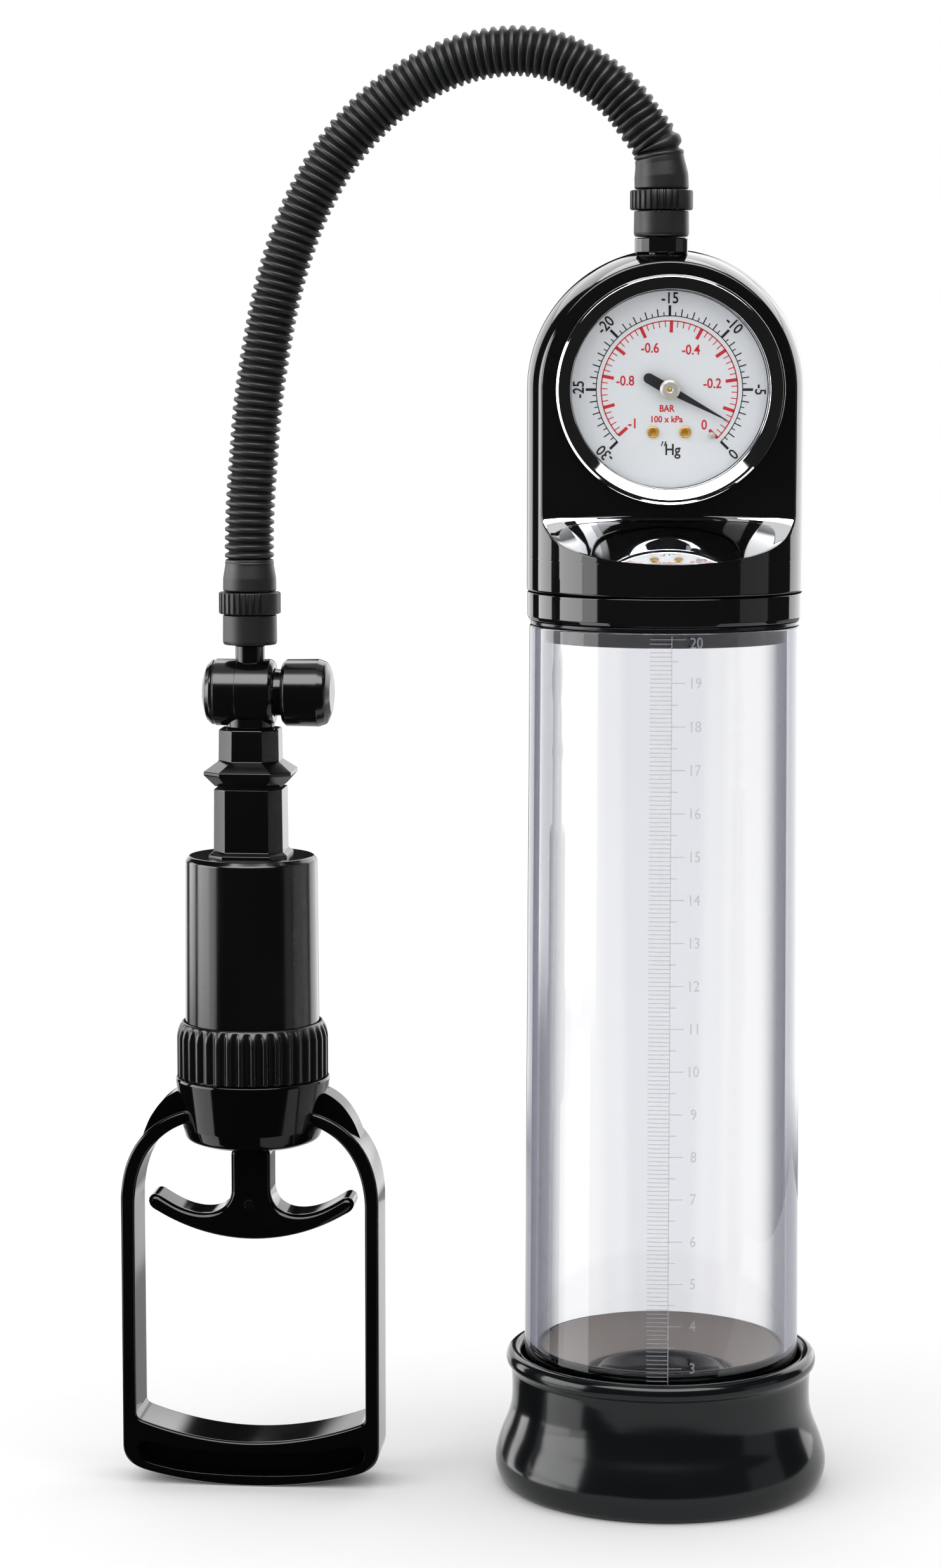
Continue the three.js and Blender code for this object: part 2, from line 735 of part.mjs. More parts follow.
// ---- Pump ----
function makeValve() {
  const boreRadius = 4.6;
  const neckRadius = 5.5;
  const left = -8.3;
  const right = 5.9;
  const outer = joined(
    turnedX(rodProfile(VALVE_RADIUS, left, right), 24).translate(0, 0, VALVE_CENTRE),
    turnedZ(rodProfile(3.5, VALVE_CENTRE + 2, VALVE_CENTRE + 11.1), 16),
    turnedZ(rodProfile(2.6, VALVE_CENTRE + 10, VALVE_CENTRE + 19), 16),
    turnedZ(rodProfile(6.3, VALVE_CENTRE - 8.2, VALVE_CENTRE), 20),
  );
  const web = 1.2;
  const stemBore = turnedX(rodProfile(boreRadius, left - 1, 0), 20).translate(0, 0, VALVE_CENTRE);
  const springBore = turnedX(rodProfile(boreRadius, web, right + 1), 20).translate(0, 0, VALVE_CENTRE);
  const webBore = turnedX(rodProfile(1.9, -1, web + 1), 14).translate(0, 0, VALVE_CENTRE);
  const neckBore = turnedX(rodProfile(neckRadius + GAP, right - 2.1, right + 1), 20);
  neckBore.translate(0, 0, VALVE_CENTRE);
  const passage = turnedZ(rodProfile(1.4, VALVE_CENTRE - 10, VALVE_CENTRE + 20), 10);
  addPart(pump, 'valve_body', shapeOf(cut(outer, stemBore, springBore, webBore, neckBore, passage)), mattBlack);

  const capProfile = [
    [0, left - 2.9],
    [3.4, left - 2.6],
    [6.0, left - 1.8],
    [7.3, left - 0.8],
    [7.6, left - GAP],
    [0, left - GAP],
  ];
  addPart(pump, 'valve_end_cap', turnedX(capProfile, 24).translate(0, 0, VALVE_CENTRE), mattBlack);

  const stemProfile = [
    [0, -5.4],
    [3.9, -5.4],
    [3.9, -4.3],
    [3.2, -4.3],
    [3.2, -2.9],
    [3.9, -2.9],
    [3.9, -1.8],
    [1.6, -1.8],
    [1.6, right - 0.2],
    [0, right - 0.2],
  ];
  addPart(pump, 'release_stem', turnedX(stemProfile, 16).translate(0, 0, VALVE_CENTRE), steel);
  const seal = turnedX(ringProfile(4.35, 3.5, -4.1, -3.1), 16);
  addPart(pump, 'stem_seal', seal.translate(0, 0, VALVE_CENTRE), rubberBlack);

  const buttonProfile = [
    [0, right + 0.1],
    [neckRadius, right + 0.1],
    [neckRadius, right + 2],
    [VALVE_RADIUS, right + 2],
    [VALVE_RADIUS + 0.1, 16.8],
    [7.3, 18.3],
    [5.2, 19.3],
    [0, 19.8],
  ];
  addPart(pump, 'release_button', turnedX(buttonProfile, 24).translate(0, 0, VALVE_CENTRE), glossBlack);
  const springStart = web + GAP;
  const spring = coilSpring(3.2, 0.4, right - 0.2 - springStart, 3, 8).rotateY(Math.PI / 2);
  addPart(pump, 'release_spring', spring.translate(springStart, 0, VALVE_CENTRE), steel);
}

// The square neck between the valve and the barrel, with a flared collar.
function makeNeckAdapter() {
  const neck = lofted([
    { outline: chamferedSquare(16.0, 3.4), z: NECK_TOP + GAP },
    { outline: chamferedSquare(20.9, 4.2), z: 171.9 },
    { outline: chamferedSquare(20.9, 4.2), z: 172.4 },
    { outline: chamferedSquare(14.2, 3.6), z: 175.0 },
    { outline: chamferedSquare(14.2, 3.6), z: 182.4 },
  ]);
  const passage = turnedZ(rodProfile(2.6, 160, 190), 16);
  addPart(pump, 'neck_adapter', shapeOf(solid(neck).subtract(solid(passage))), mattBlack);
}

function makeBarrel() {
  const profile = [
    [0, BARREL_TOP - 1],
    [BARREL_BORE, BARREL_TOP - 2.4],
    [BARREL_BORE, BARREL_BOTTOM],
    [16.5, BARREL_BOTTOM],
    [16.5, BARREL_BOTTOM + 1.8],
    [BARREL_RADIUS + 0.15, BARREL_BOTTOM + 2.2],
    [BARREL_RADIUS - 0.2, BARREL_TOP - 1.2],
    [BARREL_RADIUS - 1.4, BARREL_TOP],
    [0, BARREL_TOP],
  ];
  const neck = lofted([
    { outline: chamferedSquare(18.6, 3.4), z: BARREL_TOP - 1 },
    { outline: chamferedSquare(18.6, 3.4), z: BARREL_TOP + 0.8 },
    { outline: chamferedSquare(16.3, 3), z: BARREL_TOP + 1.4 },
    { outline: chamferedSquare(16.3, 3), z: NECK_TOP },
  ]);
  const valveSeat = turnedZ(rodProfile(4.6, BARREL_TOP + 5, NECK_TOP + 1), 20);
  const passage = turnedZ(rodProfile(2.2, BARREL_TOP - 8, BARREL_TOP + 8), 16);
  addPart(pump, 'barrel', shapeOf(cut(joined(turnedZ(profile, 32), neck), valveSeat, passage)), mattBlack);

  // A duckbill that lets air in from the chamber and not back.
  const duckbill = [
    [1.0, BARREL_TOP + 12.4],
    [1.6, BARREL_TOP + 6.0],
    [2.2, BARREL_TOP + 6.0],
    [2.6, BARREL_TOP + 12.2],
    [4.3, BARREL_TOP + 12.6],
    [4.3, NECK_TOP - GAP],
    [1.0, NECK_TOP - GAP],
    [1.0, BARREL_TOP + 12.4],
  ];
  addPart(pump, 'inlet_check_valve', turnedZ(duckbill, 14), rubberBlack);
}

function makeKnurledNut() {
  const outline = ribbedOutline(NUT_RIBS, NUT_RADIUS, NUT_RADIUS - 0.75);
  const plug = new THREE.ExtrudeGeometry(polygon(outline), {
    depth: NUT_TOP - CUP_TOP - GAP,
    bevelEnabled: false,
  });
  plug.translate(0, 0, CUP_TOP + GAP);
  const threadBore = turnedZ(rodProfile(16.85, CUP_TOP - 1, BARREL_BOTTOM + 2.3), 32);
  const barrelBore = turnedZ(rodProfile(16.35, CUP_TOP - 1, NUT_TOP + 1), 32);
  addPart(pump, 'knurled_nut', shapeOf(cut(solid(plug), threadBore, barrelBore)), mattBlack);
}

// The D-shaped grip: the outside outline of its thin-walled frame, or the inside one.
function gripOutline(inside) {
  const half = inside ? GRIP_HALF_WIDTH - GRIP_WALL : GRIP_HALF_WIDTH;
  const shoulder = inside ? 69 : 70;
  const arch = inside
    ? [half - 0.5, 81, 20.5, 88.9, 9, 89.4]
    : [half - 0.4, 83, 23, 91.5, 9, 92.5];
  const base = inside ? 10.8 : 0;
  const foot = inside ? 17 : 7.6;
  const corner = inside ? 5 : 8;
  const mirrored = [-arch[2], arch[3], -arch[0], arch[1], -half, shoulder];
  const shape = new THREE.Shape();
  shape.moveTo(half, shoulder);
  shape.bezierCurveTo(...arch);
  shape.lineTo(-arch[4], arch[5]);
  shape.bezierCurveTo(...mirrored);
  shape.lineTo(-half, foot + corner * 0.4);
  shape.quadraticCurveTo(-half, foot - 1.6, -half + corner, foot - 3.4);
  shape.quadraticCurveTo(-half * 0.4, base, 0, base);
  shape.quadraticCurveTo(half * 0.4, base, half - corner, foot - 3.4);
  shape.quadraticCurveTo(half, foot - 1.6, half, foot + corner * 0.4);
  shape.lineTo(half, shoulder);
  return shape;
}

// The web that stiffens one shoulder of the grip, between the cup and the frame.
function gripWeb(side) {
  const outline = [
    [14, 96],
    [18.1, 95.2],
    [21.6, 92.7],
    [24.2, 89.2],
    [26.2, 84.2],
    [24, 84],
    [14, 89],
  ];
  return extrudedY(polygon(outline.map(([x, z]) => [side * x, z])), -3, 5.5);
}

function makeGrip() {
  const front = -GRIP_DEPTH / 2;
  const frame = solid(extrudedY(gripOutline(false), front, -front));
  const window = extrudedY(gripOutline(true), front - 2, -front + 2);
  const cupProfile = [
    [0, CUP_BOTTOM + 0.6],
    [12, CUP_BOTTOM],
    [15.2, CUP_BOTTOM + 0.8],
    [16.6, CUP_BOTTOM + 3],
    [CUP_RADIUS, CUP_TOP],
    [16.4, CUP_TOP],
    [16.4, CUP_TOP + 3.1],
    [0, CUP_TOP + 3.1],
  ];
  const cavity = turnedZ(rodProfile(14.2, CUP_BOTTOM + 5.6, CUP_TOP + 5), 24);
  const bushBore = turnedZ(rodProfile(5.2, CUP_BOTTOM + 2.2, CUP_TOP), 16);
  const rodBore = turnedZ(rodProfile(ROD_RADIUS + 0.6, CUP_BOTTOM - 5, CUP_TOP), 14);
  const slot = extrudedY(slotOutline(), front - 1, front + 5);
  const backSlot = extrudedY(slotOutline(), -front - 5, -front + 1);
  const rail = cut(frame, window);
  const body = [turnedZ(cupProfile, 32), gripWeb(1), gripWeb(-1)].map(solid).reduce((a, b) => a.add(b), rail);
  addPart(
    pump,
    'handle_frame',
    shapeOf(cut(body, cavity, bushBore, rodBore, slot, backSlot)),
    glossBlack,
  );

  const bush = turnedZ(ringProfile(4.9, ROD_RADIUS + 0.1, CUP_BOTTOM + 2.5, CUP_BOTTOM + 5.3), 16);
  addPart(pump, 'rod_bush', bush, brass);
}

// The long recess in the bottom bar, which follows the bar's curve.
function slotOutline() {
  const half = 27.2;
  const shape = new THREE.Shape();
  shape.moveTo(-half, 10.4);
  shape.quadraticCurveTo(-half * 0.5, 8.2, 0, 8.2);
  shape.quadraticCurveTo(half * 0.5, 8.2, half, 10.4);
  shape.lineTo(half, 6.8);
  shape.quadraticCurveTo(half * 0.5, 2.8, 0, 2.8);
  shape.quadraticCurveTo(-half * 0.5, 2.8, -half, 6.8);
  return shape;
}

// The pull handle: a stem and a bowed bar with upturned ends.
function makePullHandle() {
  const depth = 11;
  const half = 24.75;
  const stem = 4.75;
  const top = CUP_BOTTOM - 0.9;
  const shape = new THREE.Shape();
  shape.moveTo(-stem, top);
  shape.lineTo(-stem, 72);
  shape.bezierCurveTo(-stem, 66.5, -9, 65.8, -14, 66.8);
  shape.quadraticCurveTo(-19, 68, -half + 2, 70.6);
  shape.quadraticCurveTo(-half - 0.4, 69.8, -half + 0.6, 66.9);
  shape.bezierCurveTo(-17, 62.2, -9, 59.8, 0, 59.8);
  shape.bezierCurveTo(9, 59.8, 17, 62.2, half - 0.6, 66.9);
  shape.quadraticCurveTo(half + 0.4, 69.8, half - 2, 70.6);
  shape.quadraticCurveTo(19, 68, 14, 66.8);
  shape.bezierCurveTo(9, 65.8, stem, 66.5, stem, 72);
  shape.lineTo(stem, top);
  const bar = solid(extrudedY(shape, -depth / 2, depth / 2, 8));
  const socket = turnedZ(rodProfile(ROD_RADIUS + GAP, 70, CUP_BOTTOM + 1), 20);
  addPart(pump, 'pull_handle', shapeOf(cut(bar, socket)), glossBlack);
}

function makePiston() {
  addPart(pump, 'piston_rod', turnedZ(rodProfile(ROD_RADIUS, 70.4, PISTON_TOP + 1.4), 14), steel);
  const grooveLow = PISTON_BOTTOM + 2.6;
  const grooveHigh = PISTON_TOP - 2.6;
  const bore = ROD_RADIUS + GAP;
  const profile = [
    [bore, PISTON_BOTTOM],
    [12.9, PISTON_BOTTOM],
    [12.9, grooveLow],
    [10.6, grooveLow],
    [10.6, grooveHigh],
    [12.9, grooveHigh],
    [12.9, PISTON_TOP],
    [bore, PISTON_TOP],
    [bore, PISTON_BOTTOM],
  ];
  addPart(pump, 'piston', turnedZ(profile, 24), mattBlack);
  const seal = ringProfile(BARREL_BORE - 0.15, 10.9, grooveLow + GAP, grooveHigh - GAP);
  addPart(pump, 'piston_seal', turnedZ(seal, 24), rubberBlack);
  const flap = ringProfile(9.5, bore + 1.2, PISTON_TOP + GAP, PISTON_TOP + 1.2);
  addPart(pump, 'piston_check_flap', turnedZ(flap, 16), rubberBlack);
  const springFoot = CUP_BOTTOM + 5.9;
  const spring = coilSpring(9.2, 0.8, PISTON_BOTTOM - GAP - springFoot, 7, 10);
  addPart(pump, 'return_spring', spring.translate(0, 0, springFoot), steel);
}

// ---- Hose ----
// Its route, as points along its middle, from the pump's boot over to the head's boot.
const HOSE_ROUTE = [
  [PUMP_X, 0.0, 222.7],
  [PUMP_X, 0.0, 227.0],
  [PUMP_X + 0.3, 0.0, 235.5],
  [PUMP_X + 1.1, -0.1, 246.0],
  [-50.9, -0.1, 258.5],
  [-49.1, -0.3, 270.3],
  [-46.8, -0.5, 282.1],
  [-43.5, -0.7, 293.8],
  [-38.8, -1.1, 305.5],
  [-31.8, -1.7, 317.2],
  [-23.4, -2.4, 326.4],
  [-14.5, -3.2, 333.0],
  [-5.7, -3.9, 337.3],
  [3.1, -4.7, 339.6],
  [11.9, -5.4, 340.0],
  [20.7, -6.1, 338.0],
  [29.0, -6.9, 333.4],
  [34.9, -7.4, 328.0],
  [38.5, -7.8, 323.2],
  [40.7, -7.9, 320.3],
];

function makeHose(headBootBase) {
  const points = HOSE_ROUTE.map(([x, y, z]) => new THREE.Vector3(x, y, z));
  const mouth = bent(0, BOOT_LENGTH, BOOT_LENGTH, HEAD_BOOT_BEND);
  for (const out of [2.4, GAP]) {
    const x = CHAMBER_X + FITTING_X + mouth.x - out * Math.sin(HEAD_BOOT_BEND);
    const z = headBootBase + mouth.z + out * Math.cos(HEAD_BOOT_BEND);
    points.push(new THREE.Vector3(x, FITTING_Y, z));
  }
  const section = new THREE.Shape(circlePath(0, 0, HOSE_RADIUS, 8).getPoints());
  const tube = new THREE.ExtrudeGeometry(section, {
    steps: HOSE_STEPS,
    extrudePath: new THREE.CatmullRomCurve3(points),
    bevelEnabled: false,
  });
  addPart(model, 'hose', tube, mattBlack);
}

makeTube();
makeBaseSleeve();
makeTubeGasket();
makeHeadBaseRing();
makeHeadShell();
makeGaugeHousing();
makeDial();
makePointer();
makeMovement();
makeMovementPlates();
makeBourdonTube();
makeHeadNipple();
const headBootBase = makeHoseEnd(chamber, 'head', {
  x: FITTING_X,
  y: FITTING_Y,
  low: FITTING_SEAT + 6.4,
  socketLength: 5.8,
  ringLength: 4.5,
  bend: HEAD_BOOT_BEND,
});
makeHoseEnd(pump, 'pump', {
  x: 0,
  y: 0,
  low: VALVE_CENTRE + 11.4,
  socketLength: 7,
  ringLength: 5.1,
  bend: 0,
});
makeValve();
makeNeckAdapter();
makeBarrel();
makeKnurledNut();
makeGrip();
makePullHandle();
makePiston();
makeHose(headBootBase);

export default model;
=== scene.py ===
"""The looks of a hand vacuum pump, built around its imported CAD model.

Lengths in this script are millimetres, as on a drawing, and MM turns them into Blender's metres.
"""

import json
import math

import bmesh
import bpy
from mathutils import Matrix, Vector


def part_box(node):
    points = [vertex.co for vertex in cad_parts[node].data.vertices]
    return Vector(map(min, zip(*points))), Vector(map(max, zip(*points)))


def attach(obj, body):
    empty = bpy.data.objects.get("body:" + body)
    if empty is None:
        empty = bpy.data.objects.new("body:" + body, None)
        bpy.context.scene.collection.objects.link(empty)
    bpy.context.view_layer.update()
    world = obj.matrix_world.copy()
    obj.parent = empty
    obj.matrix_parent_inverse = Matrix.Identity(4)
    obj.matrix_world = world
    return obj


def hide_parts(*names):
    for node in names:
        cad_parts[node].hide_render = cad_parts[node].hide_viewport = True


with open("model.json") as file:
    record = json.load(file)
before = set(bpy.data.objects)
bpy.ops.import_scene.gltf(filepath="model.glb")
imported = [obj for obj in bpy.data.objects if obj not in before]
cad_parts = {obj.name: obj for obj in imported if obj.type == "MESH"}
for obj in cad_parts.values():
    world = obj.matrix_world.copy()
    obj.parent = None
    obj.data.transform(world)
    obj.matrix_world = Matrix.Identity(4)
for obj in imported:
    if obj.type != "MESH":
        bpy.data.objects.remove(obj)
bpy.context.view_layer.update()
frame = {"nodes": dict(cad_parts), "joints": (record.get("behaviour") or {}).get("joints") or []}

MM = 0.001
JOINTS = {joint["name"]: joint for joint in frame["joints"]}


# ---- Where things are, read from the frame ----
def middle(node):
    """The middle of a CAD node's box, in millimetres."""
    low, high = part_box(node)
    return (low + high) / 2 / MM


CHAMBER_X = middle("tube").x
PUMP_X = middle("piston_rod").x
PUMP_Y = middle("piston_rod").y
FITTING_X = middle("head_socket").x
FITTING_Y = middle("head_socket").y
GAUGE_Z = JOINTS["pointer_turn"]["pos_m"][2] / MM
PRESS_AXIS = JOINTS["release_press"]["axis"]
PUMP_TURN = math.atan2(-PRESS_AXIS[1], -PRESS_AXIS[0])

CHAMBER = Matrix.Translation((CHAMBER_X, 0, 0))
GAUGE = Matrix.Translation((CHAMBER_X, 0, GAUGE_Z))
PUMP = Matrix.Translation((PUMP_X, PUMP_Y, 0)) @ Matrix.Rotation(PUMP_TURN, 4, "Z")
FACING = Matrix.Rotation(math.pi / 2, 4, "X")
ALONG_X = Matrix.Rotation(math.pi / 2, 4, "Y")


# ---- Camera, floor and light ----
CAMERA_AT = (-1.0, -890.0, 268.8)
CAMERA_PITCH = math.radians(6.396)
CAMERA_LENS = 86.58
SENSOR_WIDTH = 36


def make_camera():
    data = bpy.data.cameras.new("camera")
    data.lens = CAMERA_LENS
    data.sensor_width = SENSOR_WIDTH
    data.sensor_fit = "AUTO"
    data.clip_start = 0.01
    data.clip_end = 50
    camera = bpy.data.objects.new("camera", data)
    camera.location = [v * MM for v in CAMERA_AT]
    camera.rotation_euler = (math.pi / 2 - CAMERA_PITCH, 0, 0)
    bpy.context.scene.collection.objects.link(camera)
    bpy.context.scene.camera = camera


def node(tree, kind, **settings):
    made = tree.nodes.new(kind)
    for key, value in settings.items():
        setattr(made, key, value)
    return made


def math_node(tree, operation, first, second):
    made = node(tree, "ShaderNodeMath", operation=operation)
    for socket, value in zip(made.inputs, (first, second)):
        if isinstance(value, (int, float)):
            socket.default_value = value
        else:
            tree.links.new(value, socket)
    return made.outputs[0]


def map_range(tree, value, start, stop, low=0.0, high=1.0, kind="SMOOTHSTEP"):
    """Low where value is at start, high where it is at stop, and a ramp between."""
    made = node(tree, "ShaderNodeMapRange", interpolation_type=kind)
    tree.links.new(value, made.inputs["Value"])
    made.inputs["From Min"].default_value = start
    made.inputs["From Max"].default_value = stop
    made.inputs["To Min"].default_value = low
    made.inputs["To Max"].default_value = high
    return made.outputs[0]


def smooth_band(tree, value, low, high, soft):
    """1 where value is between low and high, falling to 0 over soft on each side."""
    rise = map_range(tree, value, low - soft, low + soft)
    fall = map_range(tree, value, high + soft, high - soft)
    return math_node(tree, "MULTIPLY", rise, fall)


# Each light panel that shows in the gloss: azimuth from and to, in degrees from the camera's side
# towards +X, lowest and highest height as a sine, and its strength.
STUDIO_PANELS = [
    (-104, -75, -0.16, 0.03, 6.0),
    (-75, -61, -0.16, 0.03, 3.6),
    (-104, -61, 0.03, 0.42, 7.0),
    (-134, -112, -0.16, 0.36, 4.0),
    (-181, -148, -0.9, -0.2, 0.8),
    (-171, -148, -0.2, 0.3, 1.5),
    (-176, -148, 0.3, 0.62, 2.4),
    (-104, -66, -0.8, -0.16, 2.6),
    (62, 92, -0.3, 0.3, 0.45),
    (121, 181, -0.9, -0.2, 0.45),
    (124, 162, -0.2, 0.3, 2.5),
    (162, 173, -0.2, 0.3, 1.5),
    (124, 176, 0.3, 0.62, 2.9),
    (150, 181, 0.62, 0.8, 4.5),
    (-181, -150, 0.62, 0.8, 4.5),
    (-60, 50, 0.56, 0.93, 8.0),
]
# The panel overhead, in the sine of the lean to +X and to +Y.
OVERHEAD_X = (-0.34, 0.44)
OVERHEAD_Y = (-0.3, 0.58)
OVERHEAD_STRENGTH = 0.7
OVERHEAD_FROM = 0.6
AMBIENT_STRENGTH = 0.012
SKY_ON_MATT = 1.07
SKY_SEEN = 1.0
SOFT_DEGREES = 0.8
SOFT_SINE = 0.02


def overhead_panel(tree, split):
    """A soft panel straight above."""
    x, y, z = split.outputs[:3]
    above = math_node(tree, "GREATER_THAN", z, OVERHEAD_FROM)
    wide = smooth_band(tree, x, *OVERHEAD_X, SOFT_SINE)
    deep = smooth_band(tree, y, *OVERHEAD_Y, SOFT_SINE)
    shape = math_node(tree, "MULTIPLY", math_node(tree, "MULTIPLY", wide, deep), above)
    return math_node(tree, "MULTIPLY", shape, OVERHEAD_STRENGTH)


def background(tree, strength):
    """White light from the world, at one strength or at the strength of a node's output."""
    made = node(tree, "ShaderNodeBackground")
    made.inputs["Color"].default_value = (1, 1, 1, 1)
    if isinstance(strength, float):
        made.inputs["Strength"].default_value = strength
    else:
        tree.links.new(strength, made.inputs["Strength"])
    return made.outputs[0]


def pick_shader(tree, choice, when_no, when_yes):
    made = node(tree, "ShaderNodeMixShader")
    for socket, value in zip(made.inputs, (choice, when_no, when_yes)):
        tree.links.new(value, socket)
    return made.outputs[0]


def make_world():
    """White to look at, even on matt surfaces, and a dark room with light panels in the gloss."""
    world = bpy.data.worlds.new("studio")
    bpy.context.scene.world = world
    world.use_nodes = True
    tree = world.node_tree
    tree.nodes.clear()
    coords = node(tree, "ShaderNodeTexCoord")
    split = node(tree, "ShaderNodeSeparateXYZ")
    tree.links.new(coords.outputs["Generated"], split.inputs[0])
    toward = math_node(tree, "MULTIPLY", split.outputs["Y"], -1.0)
    turn = math_node(tree, "ARCTAN2", split.outputs["X"], toward)
    degrees = math_node(tree, "MULTIPLY", turn, 180 / math.pi)
    total = math_node(tree, "MAXIMUM", overhead_panel(tree, split), AMBIENT_STRENGTH)
    for start, stop, low, high, strength in STUDIO_PANELS:
        wide = smooth_band(tree, degrees, start, stop, SOFT_DEGREES)
        tall = smooth_band(tree, split.outputs["Z"], low, high, SOFT_SINE)
        panel = math_node(tree, "MULTIPLY", math_node(tree, "MULTIPLY", wide, tall), strength)
        total = math_node(tree, "MAXIMUM", total, panel)

    path = node(tree, "ShaderNodeLightPath").outputs
    clear = math_node(tree, "MAXIMUM", path["Is Camera Ray"], path["Is Transmission Ray"])
    matt = background(tree, SKY_ON_MATT)
    lit = pick_shader(tree, path["Is Glossy Ray"], matt, background(tree, total))
    output = node(tree, "ShaderNodeOutputWorld")
    tree.links.new(pick_shader(tree, clear, lit, background(tree, SKY_SEEN)), output.inputs[0])


def make_light(name, at, towards, size, power):
    data = bpy.data.lights.new(name, "AREA")
    data.shape = "RECTANGLE"
    data.size, data.size_y = size
    data.energy = power
    lamp = bpy.data.objects.new(name, data)
    lamp.location = at
    aim = Vector(towards) - Vector(at)
    lamp.rotation_euler = aim.to_track_quat("-Z", "Y").to_euler()
    lamp.visible_glossy = False
    lamp.visible_camera = False
    bpy.context.scene.collection.objects.link(lamp)


FLOOR_REACH = 6.0
FLOOR_BELOW = -0.00004
# The part of the floor that shows in the gloss, from the chamber's axis, in metres.
GLOSS_FLOOR_X = (-0.07, 0.3)
GLOSS_FLOOR_Y = (-0.12, 0.3)
LIGHTS_AIM = (0, 0, 0.16)


def make_studio():
    make_camera()
    make_world()
    settings = bpy.context.scene.view_settings
    settings.view_transform = "Standard"
    settings.look = "None"
    make_light("key_left", (-0.9, -0.7, 0.9), LIGHTS_AIM, (0.8, 1.0), 3)
    make_light("fill_right", (0.9, -0.6, 0.6), LIGHTS_AIM, (0.6, 1.0), 1)
    far = (-FLOOR_REACH, FLOOR_REACH)
    make_floor("floor", far, far, FLOOR_BELOW, False)
    across = [CHAMBER_X * MM + x for x in GLOSS_FLOOR_X]
    make_floor("floor_by_chamber", across, GLOSS_FLOOR_Y, 0.0, True)


def make_floor(name, across, along, height, in_gloss):
    """A piece of the white floor. Only the piece by the chamber shows in glossy surfaces."""
    mesh = bpy.data.meshes.new(name)
    corners = [(across[i], along[j], height) for i, j in ((0, 0), (1, 0), (1, 1), (0, 1))]
    mesh.from_pydata(corners, [], [(0, 1, 2, 3)])
    mesh.materials.append(MATERIALS["floor"])
    floor = bpy.data.objects.new(name, mesh)
    floor.visible_glossy = in_gloss
    bpy.context.scene.collection.objects.link(floor)


# ---- Materials ----
# The part of a noise's range that is spread over the values it varies.
NOISE_LOW = 0.3
NOISE_HIGH = 0.7
ACRYLIC_IOR = 1.49


def principled(name, color, roughness, metallic=0.0, **sockets):
    material = bpy.data.materials.new(name)
    material.use_nodes = True
    shader = material.node_tree.nodes["Principled BSDF"]
    shader.inputs["Base Color"].default_value = (*color, 1)
    shader.inputs["Roughness"].default_value = roughness
    shader.inputs["Metallic"].default_value = metallic
    for socket, value in sockets.items():
        shader.inputs[socket.replace("_", " ")].default_value = value
    return material, material.node_tree, shader


def object_noise(tree, scale, detail=3.0):
    """Noise fixed to the object, in cycles per metre."""
    coords = node(tree, "ShaderNodeTexCoord")
    noise = node(tree, "ShaderNodeTexNoise")
    noise.inputs["Scale"].default_value = scale
    noise.inputs["Detail"].default_value = detail
    tree.links.new(coords.outputs["Object"], noise.inputs["Vector"])
    return noise.outputs["Fac"]


def vary(tree, shader, socket, noise, low, high):
    value = map_range(tree, noise, NOISE_LOW, NOISE_HIGH, low, high, "LINEAR")
    tree.links.new(value, shader.inputs[socket])


def vary_color(tree, shader, noise, dark, light):
    mix = node(tree, "ShaderNodeMix", data_type="RGBA")
    mix.inputs[6].default_value = (*dark, 1)
    mix.inputs[7].default_value = (*light, 1)
    tree.links.new(noise, mix.inputs[0])
    tree.links.new(mix.outputs[2], shader.inputs["Base Color"])


def add_bump(tree, shader, noise, distance, strength=1.0):
    bump = node(tree, "ShaderNodeBump")
    bump.inputs["Strength"].default_value = strength
    bump.inputs["Distance"].default_value = distance
    tree.links.new(noise, bump.inputs["Height"])
    tree.links.new(bump.outputs[0], shader.inputs["Normal"])


def moulded_plastic(name, dark, light, rough_low, rough_high, grain, depth, scale=900, **sockets):
    material, tree, shader = principled(name, dark, rough_low, 0.0, **sockets)
    broad = object_noise(tree, 45, 4)
    vary(tree, shader, "Roughness", broad, rough_low, rough_high)
    vary_color(tree, shader, broad, dark, light)
    add_bump(tree, shader, object_noise(tree, scale, 2), depth, grain)
    return material


def floor_material():
    material, tree, shader = principled("floor_white", (0.93, 0.93, 0.93), 0.85)
    shader.inputs["Specular IOR Level"].default_value = 0.1
    vary_color(tree, shader, object_noise(tree, 6, 2), (0.925, 0.925, 0.925), (0.935, 0.935, 0.935))
    return material


# Painted shading of the clear wall, by how squarely it faces the eye: a painted grey middle, painted bright
# bands and painted dark rims where it is seen edge on.
CLEAR_PAINTED_SHADING = [
    (0.0, (0.912, 0.916, 0.93)),
    (0.046, (0.912, 0.916, 0.93)),
    (0.072, (1.0, 1.0, 1.0)),
    (0.36, (1.0, 1.0, 1.0)),
    (0.64, (0.10, 0.105, 0.14)),
]


